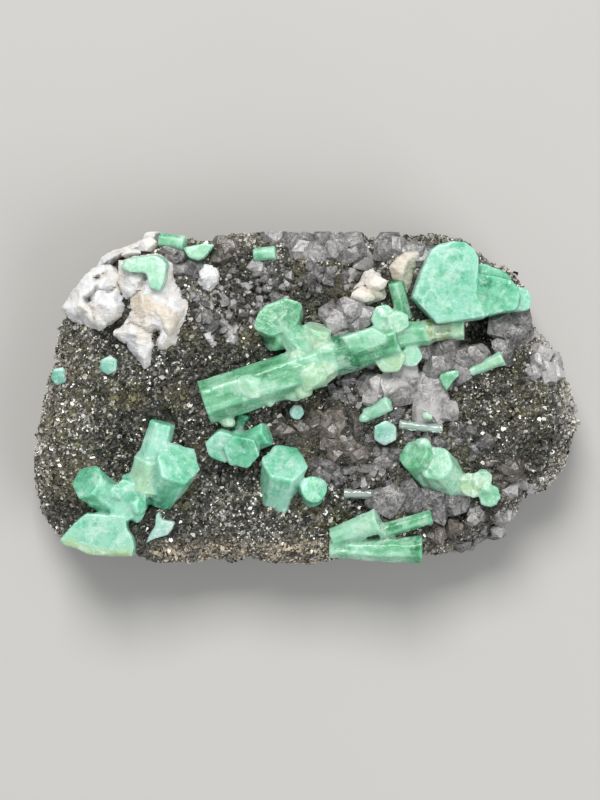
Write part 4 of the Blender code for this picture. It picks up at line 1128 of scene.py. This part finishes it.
def quartz(name, *palette):
    """Glassy quartz with hazy patches and curved cracks inside. Its palette runs from deep to pale."""
    deep, middle, pale = map(colour, palette)
    make = Recipe(name)
    drift = make.sum(make.levels(make.noise(0.3, 3, 0.5, 0.5), 0.35, 0.65, -0.5, 0.5), make.stored("tint"),
                     make.levels(make.noise(1.2, 6, 0.72, 1.2), 0.35, 0.65, -0.8, 0.8))
    tone = make.mix(make.levels(drift, -1.0, 0.0), deep, middle)
    tone = make.mix(make.levels(drift, 0.0, 1.2), tone, pale)
    tone = make.over(tone, pale, make.levels(make.noise(0.8, 5, 0.7, 2.5), 0.52, 0.6), 0.4)
    tone = make.over(tone, pale, make.seams(0.7, make.bent(2.5), (0.0, 0.035)), 0.5)
    relief = make.bumps((make.noise(2.6, 3, 0.6), 0.06), (make.noise(0.6, 2, 0.5, 0.6), 0.25))
    gloss = make.levels(make.noise(1.2, 3), 0.35, 0.7, 0.26, 0.5)
    return make.finish(Base_Color=tone, Roughness=gloss, IOR=1.544, Normal=relief,
                       Transmission_Weight=QUARTZ_TRANSMISSION)


def feldspar():
    """White crumbly feldspar with cream patches and grey pores."""
    make = Recipe("white_feldspar")
    beige = make.sum(make.levels(make.noise(0.22, 3), 0.45, 0.62, 0.0, 0.7), make.stored("tint"))
    tone = make.mix(make.levels(beige, 0.0, 1.0), colour("cbccce"), colour("c0b4a1"))
    tone = make.over(tone, colour("97928d"), make.levels(make.noise(1.1, 5, 0.7, 0.4), 0.57, 0.72), 0.35)
    tone = make.over(tone, colour("e2e1df"), make.stored("edge"), 0.5)
    pores = make.cells(1.6, place=make.stretched(make.place, (1, 1.6, 1), 0.5))
    gloss = make.levels(make.noise(2.5, 3), 0.3, 0.7, 0.35, 0.75)
    return make.finish(Base_Color=tone, Roughness=gloss, IOR=1.53, Subsurface_Weight=0.5,
                       Normal=make.bumps((make.noise(4.0, 5, 0.7), 0.14), (pores, 0.1)),
                       Subsurface_Radius=(1.0, 0.9, 0.8), Subsurface_Scale=0.0015)


def schist():
    """The mica schist between its loose flakes: dark, grainy and glinting."""
    make = Recipe("mica_schist_ground")
    speck = make.add("ShaderNodeSeparateColor", {0: make.cells(2.1, "Color")}).outputs[0]
    tone = make.mix(make.levels(speck, 0.1, 0.9), colour("26241f"), make.stored("tone", "Color"))
    tone = make.mix(make.levels(make.noise(4.0, 3), 0.6, 0.75), tone, colour("b9b4a8"))
    return make.finish(Base_Color=tone, Roughness=make.levels(speck, 0.0, 1.0, 0.3, 0.7), IOR=1.58,
                       Normal=make.bumps((make.cells(2.1), 0.35), (make.noise(7.0, 4, 0.7), 0.12)))


def mica():
    """Loose mica flakes, each with a tone of its own."""
    make = Recipe("mica_flakes")
    tone = make.stored("tone", "Color")
    stain = make.levels(make.noise(3.0, 3), 0.4, 0.7, 0.0, 0.5)
    stained = make.mix(stain, tone, colour("57534a"), "MULTIPLY")
    return make.finish(Base_Color=make.mix(0.35, tone, stained), IOR=1.6,
                       Roughness=make.levels(make.noise(2.0, 2), 0.35, 0.7, 0.16, 0.34),
                       Coat_Weight=0.5, Coat_Roughness=0.18)


def floor_paint():
    """Pale grey paint, faintly cloudy."""
    make = Recipe("pale_floor")
    tone = make.mix(make.noise(0.01, 3), colour("a3a29f"), colour("a8a7a4"))
    return make.finish(Base_Color=tone, Roughness=0.8)


# The slab.

def face_height(x, y):
    """The height of the slab's face away from its edge, without its roughness."""
    swell = noise.fractal(Vector((x, y, 0)) * 0.09, 0.9, 2.0, 3) * FACE_SWELL
    height = FACE_HEIGHT + swell
    for (form_x, form_y), radius, rise in FACE_FORMS:
        height += rise * math.exp(-((x - form_x) ** 2 + (y - form_y) ** 2) / radius ** 2)
    return height


def edge_drop(inside):
    """How much lower the face is this far in from the slab's edge."""
    return EDGE_DROP * math.exp(-inside / EDGE_ROUNDING * EDGE_FALL)


def ground_height(x, y):
    """The height of the slab's face, without its finest roughness."""
    inside = max(0.0, distance_inside(RIM, np.array([(x, y)]))[0])
    return face_height(x, y) - edge_drop(inside)


def slab_point(at, inside):
    """Where a point of the straight-sided blank goes on the weathered slab, as in the solids."""
    layer = at.z / LAYER_THICKNESS + noise.noise(Vector((at.x, at.y, 0)) * 0.08) * 1.5
    ledge = noise.noise(Vector((math.floor(layer) * 7.3, at.x * 0.12, at.y * 0.12)))
    rough = noise.fractal(at * 0.35, 0.8, 2.2, 3)
    turn_in = max(0.0, 1 - at.z / BACK_ROUNDING) ** 2 * BACK_INSET
    turn_in += max(0.0, ledge) * LEDGE_DEPTH + 0.25 * abs(rough)
    inward = Vector((-at.x, -at.y * 1.6, 0)).normalized()
    new = at + inward * turn_in * math.exp(-inside / 3.0)
    new.z = (face_height(at.x, at.y) - edge_drop(inside) + 0.55 * rough) * at.z / FACE_HEIGHT
    return new


def weathered_slab():
    """The slab in a fine mesh: the solids' shape, with thin layers in its walls and grains in its face."""
    obj = plan_solid("schist", RIM, -1.0, FACE_HEIGHT)
    even_grid(obj, SLAB_GRAIN)
    blank = points_of(obj.data)
    inside = np.maximum(distance_inside(RIM, blank), 0)
    points = np.array([slab_point(Vector(at), depth) for at, depth in zip(blank, inside)])
    set_points(obj.data, points)
    normals = normals_of(obj.data)
    wall = 1 - np.abs(normals[:, 2])
    sheets = smooth_noise(points * np.array((0.16, 0.16, 1.7)), 31)
    sheets += 0.6 * smooth_noise(points * np.array((0.4, 0.4, 3.6)), 32)
    number, plate = plates(cell_noise(points * np.array((0.62, 0.62, 1.1)), 33), 5)
    coarse = (number - 0.5) * plate
    number, plate = plates(cell_noise(points * np.array((1.5, 1.5, 2.4)), 34), 4)
    fine = (number - 0.5) * plate
    lift = 0.42 * sheets * wall + 0.8 * coarse + 0.4 * fine + 0.22 * smooth_noise(points * 0.4, 35)
    points += normals * (lift - 0.15)[:, None]
    points[blank[:, 2] < 0, 2] = 0
    points[:, 2] = np.maximum(points[:, 2], 0)
    set_points(obj.data, points)
    set_tones(obj.data, points, rock_tones(points, np.random.default_rng(SLAB_SEED)) * 0.8)
    return obj


def set_tones(mesh, points, tones):
    """Stores a tone for each point, for the materials to read."""
    layer = mesh.attributes.new("tone", "FLOAT_COLOR", "POINT")
    opaque = np.column_stack([tones, np.ones(len(points))])
    layer.data.foreach_set("color", opaque.astype(np.float32).ravel())


def patch(points, x, y, radius):
    """1 at a place in plan, falling to 0 some way past its radius."""
    away = np.hypot(points[:, 0] - x, points[:, 1] - y)
    return np.clip(1.5 - away / radius, 0, 1)


def mica_tones(points, chance):
    """A tone for each place from the schist's own, picked at random with a drift over the slab."""
    drift = layered_noise(points * 0.13, 3, 41)
    pick = np.clip(chance.random(len(points)) + 0.16 * drift, 0, 0.999)
    index = np.searchsorted(np.cumsum(SCHIST_SHARES), pick)
    return np.array([tone_of(code) for code in SCHIST_TONES])[np.minimum(index, len(SCHIST_TONES) - 1)]


def rock_tones(points, chance):
    """A tone for each place: dark and grey mica, olive clumps, brown and pale bands, and bright specks."""
    count = len(points)
    tones = mica_tones(points, chance)
    olive = np.clip(layered_noise(points * 0.2, 2, 42) * 1.6 - 0.35, 0, 1)
    for x, y, radius in OLIVE_PATCHES:
        clump = patch(points, x, y, radius) * (0.5 + 0.5 * smooth_noise(points * 0.7, 43))
        olive = np.maximum(olive, clump)
    olive *= chance.random(count) < 0.62
    tones = blend(tones, tone_of("6f683f"), 0.75 * olive)
    # Darker patches, each over one of the face's hollows.
    for x, y, radius in DARK_PATCHES:
        tones = blend(tones, tone_of("191c17"), 0.75 * patch(points, x, y, radius))
    number, _ = cell_noise(points * 0.6, 44)
    tones = tones * (0.62 + 0.76 * number)[:, None]
    left, right, upper = TAN_BAND
    tan = np.clip((upper - points[:, 1]) / 1.8, 0, 1) * np.clip((points[:, 0] - left) / 4, 0, 1)
    tan *= np.clip((right - points[:, 0]) / 5, 0, 1) * (chance.random(count) < 0.75)
    tones = blend(tones, tone_of("cdbea2") * (0.35 + 1.0 * number[:, None]), 0.85 * tan)
    inside = np.maximum(distance_inside(RIM, points), 0)
    tones = blend(tones, tone_of("d4cec2"), 0.7 * np.exp(-inside / 1.5) * (chance.random(count) < 0.62))
    pale = np.max([patch(points, *place) for place in PALE_PATCHES], axis=0) * (chance.random(count) < 0.8)
    tones = blend(tones, tone_of("e8e2d6"), 0.9 * pale)
    lit = [patch(points, *place) * more for *place, more in LIT_PATCHES]
    return np.clip(tones * (ROCK_BRIGHTNESS + np.sum(lit, axis=0))[:, None], 0, 1)


def blend(tones, other, share):
    """The tones, turned towards another one by each point's share."""
    return tones + (other - tones) * np.asarray(share)[:, None]


# Flakes and grains.

def places_on(mesh, count, chance, wanted):
    """Random places on a mesh, more of them where wanted(middles, normals) is greater."""
    triangles = points_of(mesh)[triangles_of(mesh)]
    a, b, c = triangles[:, 0], triangles[:, 1], triangles[:, 2]
    cross = np.cross(b - a, c - a)
    area = np.linalg.norm(cross, axis=1)
    normals = cross / (area[:, None] + 1e-12)
    weight = area * wanted((a + b + c) / 3, normals)
    chosen = np.searchsorted(np.cumsum(weight) / weight.sum(), chance.random(count))
    chosen = np.minimum(chosen, len(area) - 1)
    u, v = np.sqrt(chance.random(count)), chance.random(count)
    share = np.column_stack([1 - u, u * (1 - v), u * v])
    return (triangles[chosen] * share[..., None]).sum(axis=1), normals[chosen]


def outside_of(trees, points, margin):
    """Which points are outside all the crystals, by at least the margin."""
    keep = np.ones(len(points), bool)
    for i, at in enumerate(points):
        spot = Vector(at) * MM
        for tree in trees:
            hit, normal, _, _ = tree.find_nearest(spot, CRYSTAL_REACH * MM)
            if hit is not None and (spot - hit).dot(normal) < margin * MM:
                keep[i] = False
                break
    return keep


def turned_frames(normals, tilt, chance):
    """For each normal tilted at random: the tilted normal and two ways across it, turned at random."""
    count = len(normals)
    helper = np.where(np.abs(normals[:, 2:]) > 0.9, (1.0, 0.0, 0.0), (0.0, 0.0, 1.0))
    across = np.cross(normals, helper)
    across /= np.linalg.norm(across, axis=1, keepdims=True)
    beside = np.cross(normals, across)
    turn = chance.uniform(0, 2 * math.pi, (count, 1))
    lean = np.tan(np.clip(np.abs(chance.normal(0, tilt, (count, 1))), 0, 1.25))
    up = normals + (across * np.cos(turn) + beside * np.sin(turn)) * lean
    up /= np.linalg.norm(up, axis=1, keepdims=True)
    first = np.cross(up, across * np.sin(turn * 2.7) + beside * np.cos(turn * 2.7))
    first /= np.linalg.norm(first, axis=1, keepdims=True) + 1e-9
    return up, first, np.cross(up, first)


def flakes(name, places, normals, tilt, chance):
    """One mesh of small five-sided plates, each tilted a little from the surface that it lies on."""
    count = len(places)
    up, first, second = turned_frames(normals, tilt, chance)
    tones = rock_tones(places, chance)
    reach = FLAKE_RADIUS * np.exp(chance.normal(0, 0.42, (count, 1)))
    lightness = np.sqrt(tones.mean(axis=1, keepdims=True))
    reach = np.minimum(reach, 2.4 * FLAKE_RADIUS) * (1.12 - 0.5 * lightness)
    thick = FLAKE_THICKNESS * chance.uniform(0.6, 1.8, (count, 1))
    angle = np.arange(FLAKE_SIDES) * 2 * math.pi / FLAKE_SIDES
    angle = angle + chance.uniform(-0.45, 0.45, (count, FLAKE_SIDES))
    out = reach * chance.uniform(0.7, 1.15, (count, FLAKE_SIDES))
    squeeze = chance.uniform(0.55, 1.0, (count, 1))
    flat = first[:, None] * (out * np.cos(angle))[..., None]
    flat = flat + second[:, None] * (out * squeeze * np.sin(angle))[..., None]
    middle = places + normals * (reach * 0.25)
    top = middle[:, None] + flat + up[:, None] * thick[..., None]
    points = np.concatenate([top, middle[:, None] + flat * 1.04], axis=1).reshape(-1, 3)
    sides = [(0, 1, 2), (0, 2, 3), (0, 3, 4), (5, 7, 6), (5, 8, 7), (5, 9, 8)]
    for i in range(FLAKE_SIDES):
        k = (i + 1) % FLAKE_SIDES
        sides += [(i, i + FLAKE_SIDES, k + FLAKE_SIDES), (i, k + FLAKE_SIDES, k)]
    faces = (np.arange(count)[:, None, None] * 10 + np.array(sides)).reshape(-1, 3)
    obj = add_object(name, mesh_of(name, points, faces))
    set_tones(obj.data, points, np.repeat(tones, 10, axis=0))
    return obj


def sand(places, normals, chance):
    """One mesh of small angular sand grains."""
    count = len(places)
    bm = bmesh.new()
    bmesh.ops.create_icosphere(bm, subdivisions=1, radius=1)
    ball = np.array([v.co[:] for v in bm.verts])
    faces = np.array([[v.index for v in f.verts] for f in bm.faces])
    bm.free()
    up, first, second = turned_frames(normals, 0.8, chance)
    reach = SAND_RADIUS * np.exp(chance.normal(0, 0.35, (count, 1, 1)))
    shape = ball[None] * chance.uniform(0.6, 1.2, (count, len(ball), 1))
    shape = shape * chance.uniform(0.6, 1.1, (count, 1, 3))
    shape = shape * reach
    points = shape[..., :1] * first[:, None] + shape[..., 1:2] * second[:, None]
    points = points + shape[..., 2:] * up[:, None]
    points = points + (places + normals * reach[:, 0] * 0.35)[:, None]
    every = (np.arange(count)[:, None, None] * len(ball) + faces).reshape(-1, 3)
    obj = add_object("sand", mesh_of("sand", points.reshape(-1, 3), every))
    set_tones(obj.data, points.reshape(-1, 3), np.repeat(rock_tones(places, chance), len(ball), axis=0))
    return obj


# The pieces.

def tree_of(obj):
    """The object's surface, for finding the nearest place on it."""
    bm = bmesh.new()
    bm.from_mesh(obj.data)
    tree = BVHTree.FromBMesh(bm)
    bm.free()
    return tree


def seed_of(name):
    """A seed that depends only on the name."""
    return random.Random(name).randrange(9999)


def quartz_blocks(forms, name):
    """Each chunk as a main block with smaller ones grown round its middle, and each bed as tight blocks."""
    chance = random.Random(name)
    blocks = []
    for form in forms:
        if isinstance(form, Bed):
            blocks += form.blocks(chance)
            continue
        x, y, z = form.middle
        wide, deep, high = form.size
        main_size = (wide * 0.88, deep * 0.88, high * 0.96)
        blocks.append(Chunk(form.middle, main_size, cuts=16, tint=form.tint, worn=0.05))
        for i in range(4):
            angle = i * math.pi / 2 + chance.uniform(-0.6, 0.6)
            share = chance.uniform(0.3, 0.55)
            size = chance.uniform(0.5, 0.7)
            at = (x + math.cos(angle) * wide / 2 * share, y + math.sin(angle) * deep / 2 * share,
                  z + high * chance.uniform(0.0, 0.2))
            blocks.append(Chunk(at, (wide * size, deep * size * 1.15, high * size), cuts=13,
                                tint=form.tint + chance.uniform(-0.4, 0.4), worn=0.05))
    return blocks


def block_shapes(count):
    """Angular blocks about 2 across, to be copied: each one's points, and its faces as triangles."""
    shapes = []
    for i in range(count):
        block = Chunk((0, 0, 0), (2, 2, 2), cuts=9 + i % 4, worn=0.04).build("block", i)
        shapes.append((points_of(block.data), triangles_of(block.data)))
        bpy.data.objects.remove(block)
    return shapes


def in_ellipse(points, x, y, wide, deep):
    """1 inside the ellipse in plan, falling to 0 just outside it."""
    away = np.hypot((points[:, 0] - x) / wide, (points[:, 1] - y) / deep)
    return np.clip((1.15 - away) * 4, 0, 1)


def quartz_share(points):
    """How much of the ground is quartz here, from 0 to 1."""
    return np.max([in_ellipse(points, *place[:4]) for place in QUARTZ_PATCHES], axis=0)


def scattered_quartz(slab, trees):
    """Blocks of quartz between the flakes, thick in some patches of the face."""
    chance = np.random.default_rng(QUARTZ_SEED)
    shapes = block_shapes(BLOCK_SHAPES)
    points, faces, tints = [], [], []
    total = 0
    for *ellipse, count, size, tint in QUARTZ_PATCHES:
        places, normals = places_on(slab.data, count, chance,
                                    lambda at, up: in_ellipse(at, *ellipse) * (up[:, 2] > BLOCK_UP))
        keep = outside_of(trees, places, 0.8 * size)
        for place, normal in zip(places[keep], normals[keep]):
            shape, triangles = shapes[chance.integers(len(shapes))]
            turn = Matrix.Rotation(chance.uniform(0, 6.28), 3, Vector(chance.normal(size=3)).normalized())
            reach = size * math.exp(chance.normal(0, 0.3)) * chance.uniform(0.7, 1.3, 3)
            points.append(shape * reach @ np.array(turn).T + place - normal * reach.min() * 0.25)
            faces.append(triangles + total)
            tints.append(np.full(len(shape), tint + chance.normal(0, 0.35)))
            total += len(shape)
    mesh = mesh_of("quartz", np.concatenate(points), np.concatenate(faces))
    obj = add_object("quartz_between_flakes", mesh)
    set_number(obj.data, "tint", np.concatenate(tints))
    return obj


def dress_beryls():
    """Every beryl node's piece: clear, mint, pale or green."""
    green = beryl("green_beryl", ("257c50", "72ba90", "a4d9bd", "d2eddd"), 0.28)
    mint = beryl("mint_beryl", ("268762", "69c29b", "9edac4", "d6efe4"), 0.28)
    light = beryl("pale_beryl", ("5fae98", "8fcab8", "bce2d5", "e0f2ec"), 0.35)
    clear = clear_beryl()
    for node, forms in BERYLS.items():
        slot = frame_slot(node)
        material = light if slot == "beryl_pale" else green
        if node in MINT_BERYLS:
            material = mint
        if "_clear_" in node:
            material = clear
        piece = grown_together(node.replace("beryl_", "crystal_"), forms, seed_of(node), BERYL_GRAIN)
        yield finish_piece(piece, material, [node], sharp=55)


def frame_slot(node):
    """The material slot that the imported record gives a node."""
    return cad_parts[node].material_slots[0].material.name


def dress_feldspars():
    """Every feldspar node's piece."""
    white = feldspar()
    for node, forms in FELDSPARS.items():
        piece = grown_together(node + "_lump", forms, seed_of(node))
        yield finish_piece(piece, white, [node], sharp=35)


def dress_quartz(grey, smoky):
    """Every quartz node's piece."""
    for node, forms in QUARTZ_GRAINS.items():
        blocks = quartz_blocks(forms, node)
        piece = grown_together(node.replace("quartz_", "grain_"), blocks, seed_of(node))
        slot = frame_slot(node)
        yield finish_piece(piece, smoky if slot == "quartz_smoky" else grey, [node], sharp=18)


def face_share(at, up):
    """Where flakes lie on the face: less where quartz takes their place."""
    return (up[:, 2] > FACE_UP) * (at[:, 2] > FACE_LOWEST) * (1 - 0.7 * quartz_share(at))


def dress_rock(crystals, grey):
    """The slab, and the flakes, quartz and sand on all its sides but under the crystals."""
    ground = schist()
    plate = mica()
    slab = finish_piece(weathered_slab(), ground, ["matrix_schist"], sharp=50)
    trees = [tree_of(piece) for piece in crystals]
    finish_piece(scattered_quartz(slab, trees), grey, sharp=18)
    regions = [
        ("face_flakes_left", FACE_FLAKES // 2, 0.55, lambda at, up: face_share(at, up) * (at[:, 0] < 0)),
        ("face_flakes_right", FACE_FLAKES // 2, 0.55, lambda at, up: face_share(at, up) * (at[:, 0] >= 0)),
        ("wall_flakes", WALL_FLAKES, 0.3, lambda at, up: (up[:, 2] <= FACE_UP) * (at[:, 2] > 0.6)),
        ("back_flakes", BACK_FLAKES, 0.1, lambda at, up: (up[:, 2] < -0.3) * (at[:, 2] > 0.3)),
    ]
    for name, count, tilt, wanted in regions:
        chance = np.random.default_rng(seed_of(name))
        places, normals = places_on(slab.data, count, chance, wanted)
        keep = outside_of(trees, places, CRYSTAL_GAP)
        piece = flakes(name, places[keep], normals[keep], tilt, chance)
        finish_piece(piece, plate, sharp=20)
    chance = np.random.default_rng(SAND_SEED)
    places, normals = places_on(slab.data, SAND_GRAINS, chance,
                                lambda at, up: (up[:, 2] > BLOCK_UP) * (at[:, 2] > 5))
    keep = outside_of(trees, places, CRYSTAL_GAP)
    finish_piece(sand(places[keep], normals[keep], chance), ground, sharp=20)


def add_floor():
    """A pale square floor, a hair below the object."""
    bm = bmesh.new()
    bmesh.ops.create_grid(bm, x_segments=1, y_segments=1, size=FLOOR_HALF)
    floor = object_of(bm, "floor")
    floor.location.z = -FLOOR_GAP
    floor.data.materials.append(floor_paint())


def add_light(name, place, size, watts, tint):
    """A soft square light, turned to the object."""
    light = bpy.data.lights.new(name, "AREA")
    light.size = size
    light.energy = watts
    light.color = tint
    lamp = bpy.data.objects.new(name, light)
    lamp.location = place
    lamp.rotation_euler = (LIGHT_TARGET - Vector(place)).to_track_quat("-Z", "Y").to_euler()
    bpy.context.scene.collection.objects.link(lamp)


def add_camera():
    """The camera straight above the face, as the photograph's view is."""
    camera = bpy.data.cameras.new("camera")
    camera.lens = CAMERA_LENS
    camera.clip_start = 0.01
    seen = bpy.data.objects.new("camera", camera)
    seen.location = CAMERA_PLACE
    bpy.context.scene.collection.objects.link(seen)
    bpy.context.scene.camera = seen


def add_studio():
    """A pale floor, soft lights, a pale sky and a camera, in true colours with no film curve."""
    bpy.context.scene.view_settings.view_transform = "Standard"
    add_floor()
    for light in LIGHTS:
        add_light(*light)
    world = bpy.data.worlds.new("studio")
    world.use_nodes = True
    sky = world.node_tree.nodes["Background"]
    sky.inputs["Color"].default_value = SKY_COLOUR
    sky.inputs["Strength"].default_value = SKY_STRENGTH
    bpy.context.scene.world = world
    add_camera()


grey_quartz = quartz("grey_quartz", "4a4949", "838180", "c8c6c5")
smoky_quartz = quartz("smoky_quartz", "2b2724", "5b544c", "9c938a")
crystals = [*dress_beryls(), *dress_feldspars(), *dress_quartz(grey_quartz, smoky_quartz)]
dress_rock(crystals, grey_quartz)
add_studio()
